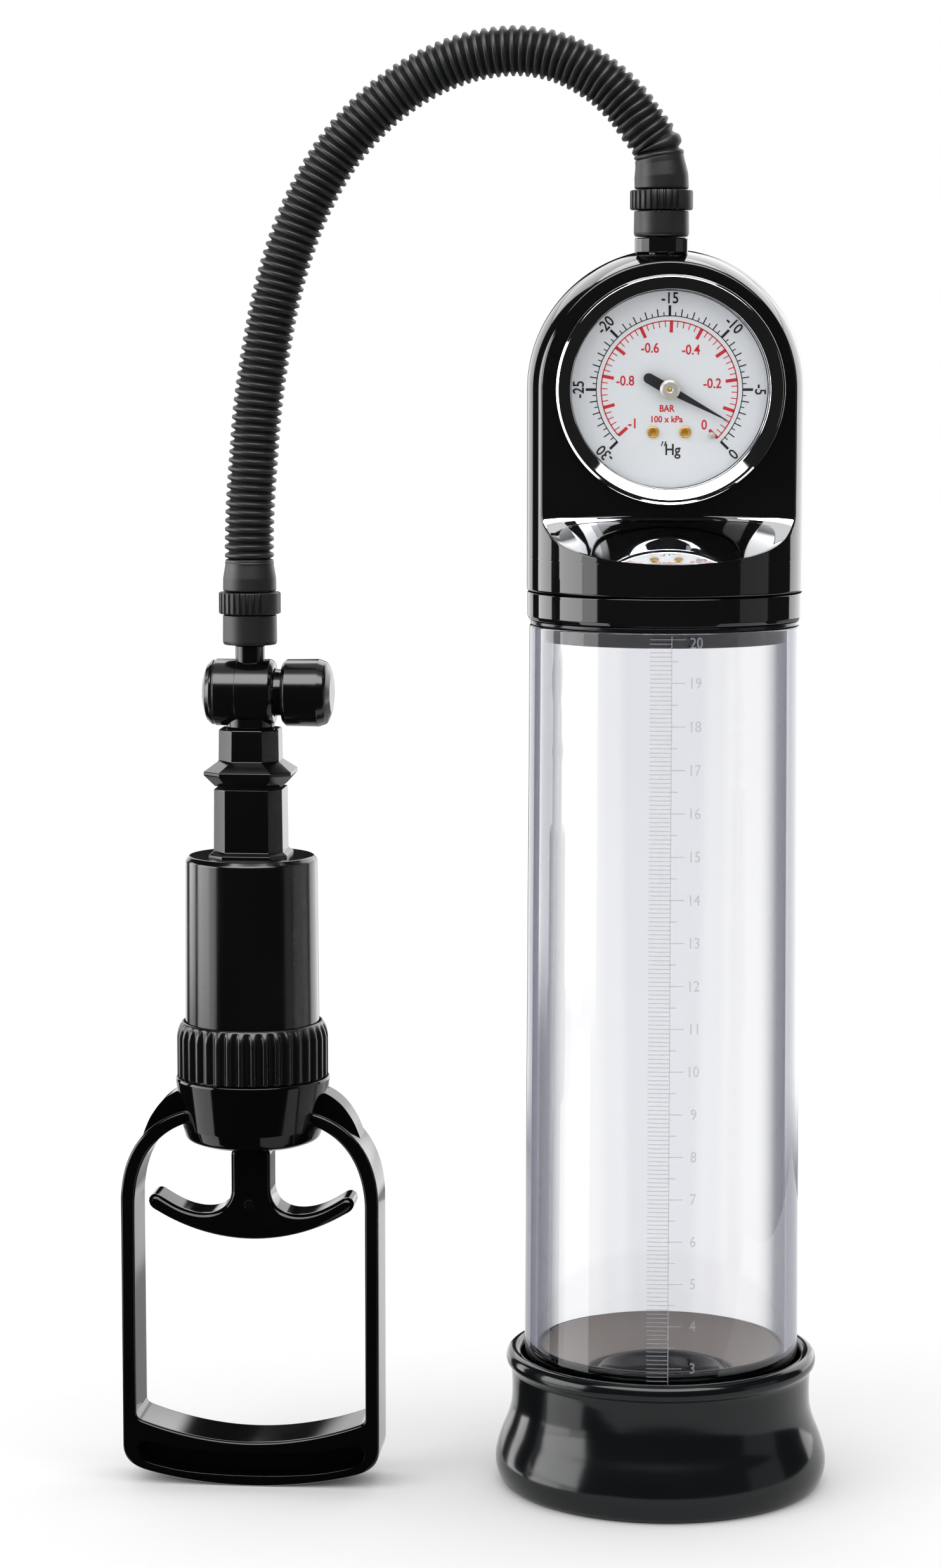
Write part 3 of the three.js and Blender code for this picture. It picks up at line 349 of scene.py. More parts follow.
def clear_material(name, tint, density, roughness):
    material, tree, shader = principled(name, (1, 1, 1), roughness)
    shader.inputs["Transmission Weight"].default_value = 1.0
    shader.inputs["IOR"].default_value = ACRYLIC_IOR
    shader.inputs["Specular Tint"].default_value = (0.8, 0.8, 0.84, 1)
    # Painted shading: the wall's base colour follows how squarely it faces the eye, grey in the middle,
    # bright in bands and dark at the rims.
    ramp = node(tree, "ShaderNodeValToRGB")
    ramp.color_ramp.interpolation = "EASE"
    stops = ramp.color_ramp.elements
    while len(stops) < len(CLEAR_PAINTED_SHADING):
        stops.new(0.5)
    for stop, (facing, color) in zip(stops, CLEAR_PAINTED_SHADING):
        stop.position = facing
        stop.color = (*color, 1)
    tree.links.new(node(tree, "ShaderNodeLayerWeight").outputs["Facing"], ramp.inputs[0])
    tree.links.new(ramp.outputs[0], shader.inputs["Base Color"])
    volume = node(tree, "ShaderNodeVolumeAbsorption")
    volume.inputs["Color"].default_value = (*tint, 1)
    volume.inputs["Density"].default_value = density
    output = tree.nodes["Material Output"]
    tree.links.new(volume.outputs[0], output.inputs["Volume"])
    add_bump(tree, shader, object_noise(tree, 60, 1), 0.00002, 0.25)
    return material


def lens_material():
    material, tree, shader = principled("lens_clear", (0.02, 0.02, 0.03), 0.02)
    shader.inputs["Alpha"].default_value = 0.06
    vary(tree, shader, "Roughness", object_noise(tree, 80, 2), 0.015, 0.03)
    return material


def metal(name, color, rough_low, rough_high, scale=400, metallic=1.0):
    material, tree, shader = principled(name, color, rough_low, metallic)
    vary(tree, shader, "Roughness", object_noise(tree, scale, 4), rough_low, rough_high)
    return material


def enamel(name, dark, light, roughness):
    material, tree, shader = principled(name, dark, roughness)
    noise = object_noise(tree, 220, 4)
    vary_color(tree, shader, noise, dark, light)
    vary(tree, shader, "Roughness", noise, roughness * 0.9, roughness * 1.1)
    return material


def grey(level):
    return (level, level, level)


def make_materials():
    return {
        "gloss": moulded_plastic(
            "gloss_black", grey(0.0035), grey(0.0055), 0.03, 0.055, 0.02, 0.00001, 120
        ),
        "matt": moulded_plastic("matt_black", grey(0.003), grey(0.0045), 0.26, 0.33, 0.25, 0.00003),
        "satin": moulded_plastic("satin_black", grey(0.002), grey(0.0035), 0.13, 0.18, 0.15, 0.00002),
        "grip": moulded_plastic(
            "grip_black", grey(0.0012), grey(0.0022), 0.06, 0.1, 0.05, 0.00001, 300,
            Specular_IOR_Level=0.3,
        ),
        "hose": moulded_plastic(
            "hose_black", (0.0075, 0.0078, 0.0085), (0.0115, 0.012, 0.013), 0.42, 0.52, 0.35, 0.00004
        ),
        "boot": moulded_plastic(
            "boot_black", (0.0065, 0.0068, 0.0075), (0.0105, 0.011, 0.012), 0.40, 0.50, 0.45, 0.00005, 1400
        ),
        "rubber": moulded_plastic(
            "rubber_black", (0.0035, 0.0044, 0.0050), (0.0055, 0.0066, 0.0075), 0.11, 0.16, 0.10, 0.00002,
            700, Specular_IOR_Level=0.3,
        ),
        # The funnel's light brown-grey is painted sheen: the glossy black rubber's reflection of the light
        # above, made lighter still for the light that the clear tube holds back.
        "funnel": moulded_plastic(
            "funnel_painted_sheen", (0.52, 0.455, 0.42), (0.60, 0.53, 0.49), 0.45, 0.6, 0.2, 0.00003, 500
        ),
        "clear": clear_material("tube_clear", (0.60, 0.605, 0.70), 40, 0.01),
        "lens": lens_material(),
        "mark": principled("moulded_mark", (0.50, 0.50, 0.55), 0.5, 0.0, Alpha=0.34)[0],
        "chrome": metal("chrome_plate", (0.86, 0.87, 0.89), 0.02, 0.05),
        "steel": metal("bright_steel", (0.62, 0.61, 0.58), 0.18, 0.30),
        "pearl": metal("pearl_nickel", (0.66, 0.64, 0.58), 0.30, 0.42, metallic=0.45),
        "brass": metal("turned_brass", (0.62, 0.36, 0.07), 0.25, 0.40, metallic=0.45),
        "dial": enamel("dial_enamel", (0.76, 0.785, 0.815), (0.80, 0.825, 0.855), 0.5),
        "ink": enamel("ink_black", (0.012, 0.012, 0.014), (0.02, 0.02, 0.022), 0.5),
        "floor": floor_material(),
        "red": enamel("ink_red", (0.60, 0.012, 0.022), (0.66, 0.018, 0.03), 0.5),
    }


MATERIALS = make_materials()


# ---- Mesh building, in millimetres ----
def rounded(points, closed=False, steps=5):
    """An outline with its corners rounded. A point is (x, y), or (x, y, radius)."""
    made = []
    count = len(points)
    for i, point in enumerate(points):
        here = Vector(point[:2])
        radius = point[2] if len(point) > 2 else 0.0
        ends = not closed and i in (0, count - 1)
        if radius <= 0 or ends:
            made.append(here)
            continue
        before = Vector(points[i - 1][:2]) - here
        after = Vector(points[(i + 1) % count][:2]) - here
        angle = before.angle(after)
        reach = min(radius / math.tan(angle / 2), before.length * 0.49, after.length * 0.49)
        start = here + before.normalized() * reach
        stop = here + after.normalized() * reach
        for k in range(steps + 1):
            t = k / steps
            made.append(start * (1 - t) ** 2 + here * 2 * t * (1 - t) + stop * t**2)
    return [tuple(p) for p in made]


def spline(points, per_span=6):
    """A smooth curve through the points, as a list of points."""
    vectors = [Vector(p) for p in points]
    padded = [2 * vectors[0] - vectors[1], *vectors, 2 * vectors[-1] - vectors[-2]]
    made = []
    for i in range(1, len(padded) - 2):
        a, b, c, d = padded[i - 1 : i + 3]
        square, cube = 2 * a - 5 * b + 4 * c - d, 3 * b - a - 3 * c + d
        for k in range(per_span):
            t = k / per_span
            made.append(tuple(0.5 * (2 * b + (c - a) * t + square * t**2 + cube * t**3)))
    made.append(tuple(vectors[-1]))
    return made


def level_ring(radius, height, count):
    """A level ring of points about Z. The radius is a number, or a function of the point's index."""
    made = []
    for i in range(count):
        angle = 2 * math.pi * i / count
        reach = radius(i) if callable(radius) else radius
        made.append((reach * math.cos(angle), reach * math.sin(angle), height))
    return made


def revolve(profile, segments=96, ring=False):
    """Vertices and faces of a profile of (radius, height) turned about Z. A ring closes on itself."""
    verts, faces, rows = [], [], []
    for radius, height in profile:
        if radius < 1e-6:
            rows.append([len(verts)] * segments)
            verts.append((0, 0, height))
            continue
        rows.append(list(range(len(verts), len(verts) + segments)))
        verts += level_ring(radius, height, segments)
    spans = list(zip(rows, rows[1:]))
    if ring:
        spans.append((rows[-1], rows[0]))
    for low, high in spans:
        for i in range(segments):
            j = (i + 1) % segments
            corners = list(dict.fromkeys((low[i], low[j], high[j], high[i])))
            if len(corners) > 2:
                faces.append(corners)
    return verts, faces


def turned(profile, segments, ring=False, steps=5):
    """A rounded profile turned about Z."""
    return revolve(rounded(profile, closed=ring, steps=steps), segments, ring)


def loft(rows, closed_rows=True, caps=True, wrap=False):
    """Vertices and faces through rows of 3D points, all with the same count."""
    count = len(rows[0])
    verts = [tuple(p) for row in rows for p in row]
    faces = []
    pairs = [(r, r + 1) for r in range(len(rows) - 1)]
    if wrap:
        pairs.append((len(rows) - 1, 0))
    for r, s in pairs:
        for i in range(count if closed_rows else count - 1):
            j = (i + 1) % count
            faces.append((r * count + i, r * count + j, s * count + j, s * count + i))
    if caps and not wrap:
        faces.append(tuple(range(count))[::-1])
        faces.append(tuple(range((len(rows) - 1) * count, len(rows) * count)))
    return verts, faces


def join(*shapes):
    verts, faces = [], []
    for more_verts, more_faces in shapes:
        start = len(verts)
        verts += more_verts
        faces += [[start + i for i in face] for face in more_faces]
    return verts, faces


def split_faces(shape, chosen):
    """The faces whose middle is chosen, and the rest, as two shapes."""
    verts, faces = shape
    halves = []
    for wanted in (True, False):
        kept, index, made = [], {}, []
        for face in faces:
            centre = sum((Vector(verts[i]) for i in face), Vector()) / len(face)
            if chosen(centre) != wanted:
                continue
            for i in face:
                if i not in index:
                    index[i] = len(kept)
                    kept.append(verts[i])
            made.append([index[i] for i in face])
        halves.append((kept, made))
    return halves


def moved(shape, matrix):
    verts, faces = shape
    return [tuple(matrix @ Vector(v)) for v in verts], faces


def mesh_of(name, shape, place, weld=False):
    """A Blender mesh from a shape in millimetres, with its faces pointing out."""
    verts, faces = shape
    mesh = bpy.data.meshes.new(name)
    mesh.from_pydata([(place @ Vector(v)) * MM for v in verts], [], faces)
    if weld:
        mesh.validate()
    shaped = bmesh.new()
    shaped.from_mesh(mesh)
    if weld:
        bmesh.ops.remove_doubles(shaped, verts=shaped.verts, dist=WELD)
    bmesh.ops.recalc_face_normals(shaped, faces=shaped.faces)
    shaped.to_mesh(mesh)
    shaped.free()
    return mesh


def smooth(mesh, angle):
    """Smooth shading, with a sharp edge where two faces meet at more than the angle in degrees."""
    mesh.shade_smooth()
    mesh.set_sharp_from_angle(angle=math.radians(angle))


WELD = 1e-7
PIECES = []


def weigh_normals():
    """Shade every piece by its larger faces, so that long straight walls stay straight."""
    for made in PIECES:
        modifier = made.modifiers.new("weighted_normals", "WEIGHTED_NORMAL")
        modifier.keep_sharp = True


def piece(name, shape, material, body, place=Matrix.Identity(4), stands_for=(), angle=32):
    """One Blender piece from a shape in millimetres, put in its place and riding on a body."""
    mesh = mesh_of(name, shape, place, weld=True)
    smooth(mesh, angle)
    mesh.materials.append(MATERIALS[material])
    made = bpy.data.objects.new(name, mesh)
    bpy.context.scene.collection.objects.link(made)
    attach(made, body)
    PIECES.append(made)
    if stands_for:
        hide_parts(*stands_for)
    return made


def prism(outline, front, back):
    """An outline in X and Z carried along Y, as a shape with two n-gon faces."""
    rows = [[(x, y, z) for x, z in outline] for y in (front, back)]
    return loft(rows)


def bevelled(made, width, segments, angle):
    modifier = made.modifiers.new("rounded_edges", "BEVEL")
    modifier.width = width * MM
    modifier.segments = segments
    modifier.limit_method = "ANGLE"
    modifier.angle_limit = math.radians(angle)
    modifier.use_clamp_overlap = True
    modifier.harden_normals = False


def cut_with(made, shape, place):
    """Cuts a shape out of a piece, and leaves the result in its mesh."""
    cutter = bpy.data.objects.new("cutter", mesh_of("cutter", shape, place))
    bpy.context.scene.collection.objects.link(cutter)
    modifier = made.modifiers.new("cut", "BOOLEAN")
    modifier.operation = "DIFFERENCE"
    modifier.solver = "EXACT"
    modifier.object = cutter
    graph = bpy.context.evaluated_depsgraph_get()
    result = bpy.data.meshes.new_from_object(made.evaluated_get(graph))
    made.modifiers.clear()
    made.data = result
    bpy.data.objects.remove(cutter)


# ---- Chamber ----
TUBE_LOW = 20.1
TUBE_HIGH = 207.1
TUBE_LOW_R = 32.9
TUBE_HIGH_R = 31.9
TUBE_WALL = 3.0
RING_TOP = 214.9
RING_LOW = 208.4
SCOOP_TOP = 232.3
SCOOP_LOW = 222.8
PANEL = 14.1
HEAD_R = 32.6
EDGE_ROUND = 0.9
PANEL_HALF = 28.0
SCOOP_FILLET = 0.9
SCOOP_RIM = 0.35
SCOOP_HOLLOW = 0.55
SCOOP_CROWN = 0.1
SCOOP_TURN = 0.0085


def make_tube():
    inner_low, inner_high = TUBE_LOW_R - TUBE_WALL, TUBE_HIGH_R - TUBE_WALL
    profile = rounded(
        [
            (inner_low, TUBE_LOW, 0.6), (TUBE_LOW_R, TUBE_LOW, 0.9),
            (TUBE_HIGH_R, TUBE_HIGH, 0.5), (inner_high, TUBE_HIGH, 0.5),
        ],
        closed=True,
    )
    piece(
        "clear_tube", revolve(profile, 144, ring=True), "clear", "root", CHAMBER,
        stands_for=("tube",),
    )


def tube_surface(across, height, proud):
    """A point on the tube's front, by distance round it, height and how far it stands proud."""
    radius = TUBE_LOW_R + (TUBE_HIGH_R - TUBE_LOW_R) * (height - TUBE_LOW) / (TUBE_HIGH - TUBE_LOW)
    angle = across / radius
    reach = radius + proud
    return (reach * math.sin(angle), -reach * math.cos(angle), height)


def raised_bar(left, right, low, high, proud=0.16, sink=0.05, columns=4):
    """A low bar moulded on the tube, bent to its curve."""
    slope = min(0.05, (high - low) / 3)
    section = [(low, -sink), (low + slope, proud), (high - slope, proud), (high, -sink)]
    rows = []
    for i in range(columns + 1):
        across = left + (right - left) * i / columns
        rows.append([tube_surface(across, z, out) for z, out in section])
    return loft(rows)


RULER_ZERO = 5.7
RULER_FIRST = 27
RULER_LAST = 200
TEXT_SQUEEZE = 0.86


def make_ruler():
    thin = 0.11
    shapes = [raised_bar(-thin, thin, RULER_ZERO + RULER_FIRST - 2, 206.4, columns=1)]
    for mark in range(RULER_FIRST, RULER_LAST + 1):
        z = RULER_ZERO + mark
        shapes.append(raised_bar(-5.0, 0.0, z - thin, z + thin))
        if mark % 5 == 0:
            reach = 3.2 if mark % 10 == 0 else 1.5
            shapes.append(raised_bar(0.0, reach, z - thin, z + thin, columns=3))
    for number in range(3, 21):
        z = RULER_ZERO + 10 * number
        shapes.append(bent_text(str(number), 3.6, 5.7, min(z, 204.9)))
    piece("tube_ruler", join(*shapes), "mark", "root", CHAMBER, angle=20)


def text_shape(body, size, extrude, squeeze=TEXT_SQUEEZE, bolder=0.0):
    """Vertices and faces of a line of text in X and Y, centred on the origin."""
    curve = bpy.data.curves.new("text", "FONT")
    curve.body = body
    curve.size = size
    curve.align_x = "CENTER"
    curve.align_y = "CENTER"
    curve.extrude = extrude
    curve.offset = bolder
    curve.resolution_u = 3
    holder = bpy.data.objects.new("text", curve)
    bpy.context.scene.collection.objects.link(holder)
    graph = bpy.context.evaluated_depsgraph_get()
    mesh = bpy.data.meshes.new_from_object(holder.evaluated_get(graph))
    verts = [(v.co.x * squeeze, v.co.y, v.co.z) for v in mesh.vertices]
    faces = [list(p.vertices) for p in mesh.polygons]
    bpy.data.objects.remove(holder)
    bpy.data.meshes.remove(mesh)
    xs = [v[0] for v in verts]
    ys = [v[1] for v in verts]
    dx, dy = (min(xs) + max(xs)) / 2, (min(ys) + max(ys)) / 2
    return [(x - dx, y - dy, z) for x, y, z in verts], faces


def bent_text(body, size, across, height):
    verts, faces = text_shape(body, size, 0.08)
    return [tube_surface(across + x, height + y, 0.05 + z) for x, y, z in verts], faces


def sleeve_profile():
    outer = spline(
        [
            (37.2, 0.0), (38.7, 1.3), (39.6, 3.6), (39.75, 6.2), (39.2, 9.0), (38.2, 12.0),
            (36.9, 15.2), (36.0, 18.6), (35.75, 22.0), (35.8, 25.6), (36.0, 27.6),
        ],
        5,
    )
    lip = spline(
        [
            (36.25, 28.3), (37.0, 29.3), (37.15, 30.6), (36.6, 31.9), (35.4, 32.5), (34.1, 32.1),
            (33.4, 31.0), (33.3, 29.4),
        ],
        5,
    )
    inside = spline(
        [
            (29.4, 33.0), (29.0, 33.9), (28.0, 33.8), (23.5, 30.9), (19.0, 27.6), (17.6, 26.7),
            (16.7, 27.1), (15.7, 27.8), (14.2, 28.0), (12.7, 27.2), (11.7, 25.6), (11.4, 24.2),
            (12.0, 23.0), (13.6, 22.6), (16.0, 23.2), (21.0, 26.2), (25.4, 28.6), (26.8, 27.0),
            (27.5, 22.0), (28.9, 16.0), (31.1, 3.0),
        ],
        5,
    )
    return [*outer, *lip, (33.3, 19.8), (29.4, 19.8), *inside, (31.5, 0.0)]


def make_sleeve():
    piece(
        "rubber_sleeve", revolve(sleeve_profile(), 160, ring=True), "rubber", "root", CHAMBER,
        stands_for=("base_sleeve",),
    )
    # The funnel is a thin skin laid over the sleeve's inside, in a light colour that is painted sheen.
    slope = spline([(28.6, 33.95), (28.0, 33.88), (23.5, 30.98), (19.2, 27.85), (18.0, 27.0)], 6)
    under = [(r, z - 0.3) for r, z in reversed(slope)]
    piece(
        "sleeve_funnel", revolve([*slope, *under], 128, ring=True), "funnel", "root", CHAMBER,
    )


def make_gasket():
    profile = [(28.9, 207.25, 0.3), (31.7, 207.25, 0.3), (31.7, 208.25, 0.3), (28.9, 208.25, 0.3)]
    piece(
        "tube_seal", turned(profile, 144, ring=True), "rubber", "root", CHAMBER,
        stands_for=("tube_gasket",),
    )


def make_base_ring():
    low = RING_LOW
    spigot = 28.3
    profile = rounded(
        [
            (7, low - 2, 0.4),
            (spigot - 3, low - 2, 0.3),
            (spigot - 3, low - 5, 0.4),
            (spigot, low - 5, 0.4),
            (spigot, low, 0.2),
            (32.0, low, 0.4),
            (32.45, low + 0.9, 0.5),
            (32.45, RING_TOP, 0.35),
            (7, RING_TOP, 0.3),
        ],
        closed=True,
    )
    piece(
        "head_ring_shell", revolve(profile, 160, ring=True), "gloss", "root", CHAMBER,
        stands_for=("head_base_ring",),
    )


ARC_STEPS = 72
FLAT_STEPS = 26
ROUND_STEPS = 6


def half_section(panel, radius, edge_round):
    """Half of a D-shaped section, from the middle of its flat front round to the back.

    The points are (across, depth) with the flat at depth -panel, and their count never changes.
    """
    panel = min(panel, radius - 0.06)
    inner = radius - edge_round
    depth = panel - edge_round
    flat_end = math.sqrt(max(inner**2 - depth**2, 0.01)) if depth < inner else 0.1
    start = math.atan2(-depth, flat_end)
    points = [(flat_end * i / FLAT_STEPS, -panel) for i in range(FLAT_STEPS)]
    centre = (flat_end, -depth)
    for i in range(ROUND_STEPS):
        angle = -math.pi / 2 + (start + math.pi / 2) * i / ROUND_STEPS
        points.append(
            (centre[0] + edge_round * math.cos(angle), centre[1] + edge_round * math.sin(angle))
        )
    for i in range(ARC_STEPS + 1):
        angle = start + (math.pi / 2 - start) * i / ARC_STEPS
        points.append((radius * math.cos(angle), radius * math.sin(angle)))
    return points


def scoop_depth(x, z):
    """How far the front surface is from the axis, across and up, in the scoop and the panel.

    The scoop is a ledge that falls forward from the panel, steeper and more hollow at its ends.
    """
    below = SCOOP_TOP - z
    drop = (below + math.hypot(below, SCOOP_FILLET)) / 2 / (SCOOP_TOP - SCOOP_LOW)
    hollow = SCOOP_HOLLOW * (x / PANEL_HALF) ** 2 - SCOOP_CROWN
    forward = drop + hollow * (drop * drop - drop)
    return PANEL + forward * (HEAD_R - PANEL - SCOOP_TURN * x * x)


def head_heights():
    """Heights of the head's level sections, from the dome's base down to the seam."""
    heights = [GAUGE_Z - 4 * i for i in range(8)]
    heights += [SCOOP_TOP + 2.6 - 0.16 * i for i in range(26)]
    steps = 44
    heights += [SCOOP_TOP - 1.6 - (SCOOP_TOP - 1.6 - SCOOP_LOW) * i / steps for i in range(1, steps + 1)]
    heights += [SCOOP_LOW - 0.15, SCOOP_LOW - 0.5]
    heights += [SCOOP_LOW - 1.5, RING_TOP + 2.0, RING_TOP + 0.9]
    return sorted((z for z in heights if z > RING_TOP + 0.8), reverse=True)


def mirrored(half):
    """A whole closed section from its right half."""
    left = [(-x, y) for x, y in half[1:-1]]
    return [*half, *left[::-1]]


def scoop_half(z):
    """Half of a level section through the scoop or the panel above it."""
    end = PANEL_HALF
    for _ in range(12):
        depth = min(scoop_depth(end, z), HEAD_R - 0.06)
        end = math.sqrt(max((HEAD_R - EDGE_ROUND) ** 2 - (depth - EDGE_ROUND) ** 2, 0.01))
    half = half_section(depth, HEAD_R, EDGE_ROUND)
    front = []
    for x, _ in half[:FLAT_STEPS]:
        reach = min(scoop_depth(x, z), math.sqrt(HEAD_R**2 - x * x))
        front.append((x, -max(reach, depth)))
    return front + half[FLAT_STEPS:]


def head_section(z, shrink=0.0):
    inside_scoop = z >= SCOOP_LOW - 1e-6
    half = scoop_half(z) if inside_scoop else []
    if not inside_scoop:
        for x, y in scoop_half(SCOOP_LOW):
            angle = math.atan2(y, x)
            half.append((HEAD_R * math.cos(angle), HEAD_R * math.sin(angle)))
    scale = 1 - shrink / HEAD_R
    return [(x * scale, y * scale, z) for x, y in mirrored(half)]


def in_scoop(at):
    """Whether a point of the head is on the bright plate that lines the scoop."""
    inside = SCOOP_LOW < at.z < SCOOP_TOP + SCOOP_RIM
    return inside and at.y < 0 and math.hypot(at.x, at.y) < HEAD_R - 0.08 and abs(at.x) < PANEL_HALF + 1


DOME_STEPS = 64


def make_head():
    """The head: a dome turned about the gauge's axis, above level D-shaped sections."""
    half = half_section(PANEL, HEAD_R, EDGE_ROUND)
    turns = [math.pi * k / DOME_STEPS for k in range(DOME_STEPS + 1)]
    dome_rows = [[(x * math.cos(turn), y, GAUGE_Z + x * math.sin(turn)) for x, y in half] for turn in turns]
    dome = loft(dome_rows, closed_rows=False, caps=False)
    levels = [head_section(z) for z in head_heights()]
    for drop, shrink in ((0.75, 0.02), (0.5, 0.12), (0.36, 0.3), (0.3, 0.55)):
        levels.append(head_section(RING_TOP + drop, shrink))
    levels.append(head_section(RING_TOP + 0.3, 2.6))
    scoop, body = split_faces(loft(levels, caps=False), in_scoop)
    piece(
        "head_housing", join(dome, body), "gloss", "root", CHAMBER,
        stands_for=("head_shell",), angle=50,
    )
    piece("scoop_plate", scoop, "chrome", "root", CHAMBER, angle=50)


# ---- Gauge ----
DIAL_FACE = -14.9


def make_bezel():
    profile = [
        (24.5, 14.4, 0.2), (24.5, 16.3, 0.2), (22.75, 16.3, 0.1), (22.75, 18.2, 0.1),
        (23.7, 18.2, 0.1), (23.7, 20.2, 0.1), (22.75, 20.2, 0.1), (25.2, 21.4, 0.12),
        (25.75, 21.45, 0.2), (26.3, 20.9, 0.25), (26.3, 14.4, 0.25),
    ]
    place = GAUGE @ FACING
    piece(
        "bezel_ring", turned(profile, 160, ring=True, steps=6), "chrome", "root", place,
        stands_for=("gauge_bezel",),
    )
    lens = turned([(0, 18.5), (23.4, 18.5, 0.2), (23.4, 19.9, 0.3), (0, 20.15)], 128)
    piece(
        "lens_window", lens, "lens", "root", place,
        stands_for=("gauge_lens",),
    )
    dial = turned([(0, 14.2), (22.7, 14.2, 0.1), (22.7, 14.9, 0.15), (0, 14.9)], 128)
    piece(
        "dial_plate", dial, "dial", "root", place,
        stands_for=("gauge_dial",),
    )


PRINT_RAISED = 0.05
PRINT_SUNK = 0.02
PRINT_BOLDER = 0.05


def on_dial(verts, lift=0.03):
    """Flat shapes in X and Z, laid just in front of the dial."""
    return [(x, DIAL_FACE - lift, z) for x, z in verts]


def printed(flat):
    """Four corners on the dial, raised into a mark of print."""
    verts = on_dial(flat, PRINT_RAISED) + on_dial(flat, -PRINT_SUNK)
    faces = [(0, 1, 2, 3), (7, 6, 5, 4), (0, 4, 5, 1), (1, 5, 6, 2), (2, 6, 7, 3), (3, 7, 4, 0)]
    return verts, faces


def dial_bar(angle, inner, outer, width):
    direction = Vector((math.cos(angle), math.sin(angle)))
    side = Vector((-direction.y, direction.x)) * width / 2
    low, high = direction * inner, direction * outer
    return printed([tuple(corner) for corner in (low - side, high - side, high + side, low + side)])


def slanted_mark(x, z):
    return printed([(x, z), (x + 0.2, z), (x + 0.6, z + 1.1), (x + 0.3, z + 1.1)])


def dial_arc(start, stop, radius, width, steps=90):
    rows = []
    for i in range(steps + 1):
        angle = start + (stop - start) * i / steps
        inner, outer = radius - width / 2, radius + width / 2
        section = [(inner, PRINT_RAISED), (outer, PRINT_RAISED), (outer, -PRINT_SUNK), (inner, -PRINT_SUNK)]
        rows.append(
            [(r * math.cos(angle), DIAL_FACE - lift, r * math.sin(angle)) for r, lift in section]
        )
    return loft(rows)


def dial_text(body, size, x, z, turn=0.0, squeeze=TEXT_SQUEEZE):
    verts, faces = text_shape(body, size, 0.03, squeeze, PRINT_BOLDER)
    c, s = math.cos(turn), math.sin(turn)
    face = DIAL_FACE - PRINT_SUNK
    placed = [(x + c * u - s * v, face - w, z + s * u + c * v) for u, v, w in verts]
    return placed, faces


SCALE_START = math.radians(-45)
SCALE_SWEEP = math.radians(270)


LABEL_RADIUS = 21.0
BAR_TENTH_DEGREES = 26.7


def make_dial_print():
    black, red = [], []
    for i in range(61):
        angle = SCALE_START + SCALE_SWEEP * i / 60
        if i % 10 == 0:
            black.append(dial_bar(angle, 16.85, 19.3, 0.6))
        elif i % 2 == 0:
            black.append(dial_bar(angle, 16.85, 18.6, 0.26))
        else:
            black.append(dial_bar(angle, 16.85, 17.8, 0.22))
    black.append(dial_arc(SCALE_START, SCALE_START + SCALE_SWEEP, 16.9, 0.2))
    for i in range(0, 31, 5):
        angle = SCALE_START + SCALE_SWEEP * i / 30
        label = "0" if i == 0 else f"-{i}"
        at = LABEL_RADIUS * math.cos(angle), LABEL_RADIUS * math.sin(angle)
        black.append(dial_text(label, 3.6, *at, angle - math.pi / 2))
    black.append(dial_text("Hg", 3.7, 0.9, -14.2))
    for shift in (-1.9, -1.2):
        black.append(slanted_mark(shift, -13.0))
    per_tenth = math.radians(BAR_TENTH_DEGREES)
    red.append(dial_arc(SCALE_START, SCALE_START + 10 * per_tenth, 15.75, 0.26))
    for i in range(51):
        angle = SCALE_START + per_tenth * i / 5
        if i % 5 == 0:
            red.append(dial_bar(angle, 13.1, 15.75, 0.75))
        else:
            red.append(dial_bar(angle, 14.3, 15.75, 0.2))
    for tenths, radius in ((0, 11.4), (2, 10.0), (4, 10.4), (6, 10.6), (8, 10.4), (10, 11.6)):
        angle = SCALE_START + per_tenth * tenths
        label = {0: "0", 10: "-1"}.get(tenths, f"-0.{tenths}")
        red.append(dial_text(label, 3.2, radius * math.cos(angle), radius * math.sin(angle)))
    red.append(dial_text("BAR", 2.2, -0.5, -4.3))
    red.append(dial_text("100 x kPa", 2.05, -0.5, -6.8, squeeze=0.93))
    piece("dial_print_black", join(*black), "ink", "root", GAUGE, angle=20)
    piece("dial_print_red", join(*red), "red", "root", GAUGE, angle=20)


def make_pointer():
    rest = math.radians(-28)
    turn = Matrix.Rotation(-rest, 4, "Y")
    outline = [(15.9, 0.04), (2.2, 0.85)]
    for i in range(1, 8):
        angle = math.pi * 0.12 + math.pi * 0.76 * i / 8
        outline.append((2.15 * math.cos(angle), 2.15 * math.sin(angle)))
    outline.append((-2.2, 1.15))
    for i in range(9):
        angle = math.pi / 2 + math.pi * i / 8
        outline.append((-5.5 + 1.2 * math.cos(angle), 1.2 * math.sin(angle)))
    outline += [(x, -z) for x, z in reversed(outline[:9]) if x != -5.5]
    outline = rounded_loop(outline)
    needle = prism(outline, DIAL_FACE - 1.7, DIAL_FACE - 1.2)
    piece(
        "needle_blade", moved(needle, turn), "ink", "needle", GAUGE,
        stands_for=("pointer",),
    )
    edge = [(2.35, 16.9, 0.1), (2.35, 17.5, 0.25), (1.75, 18.0, 0.2), (0.75, 18.0, 0.1)]
    hub = revolve(rounded([(0.52, 16.9), *edge, (0.52, 17.8)]), 64, ring=True)
    piece(
        "needle_hub", moved(hub, FACING), "pearl", "needle", GAUGE,
        stands_for=("pointer_hub",),
    )
    pin = turned([(0, 16.5), (0.5, 16.5), (0.5, 17.75, 0.1), (0.2, 17.9, 0.08), (0, 17.8)], 32)
    piece("needle_pin", moved(pin, FACING), "brass", "needle", GAUGE)


def rounded_loop(points):
    """The same loop without points that lie on each other."""
    made = []
    for point in points:
        if not made or (Vector(point) - Vector(made[-1])).length > 1e-4:
            made.append(point)
    return made


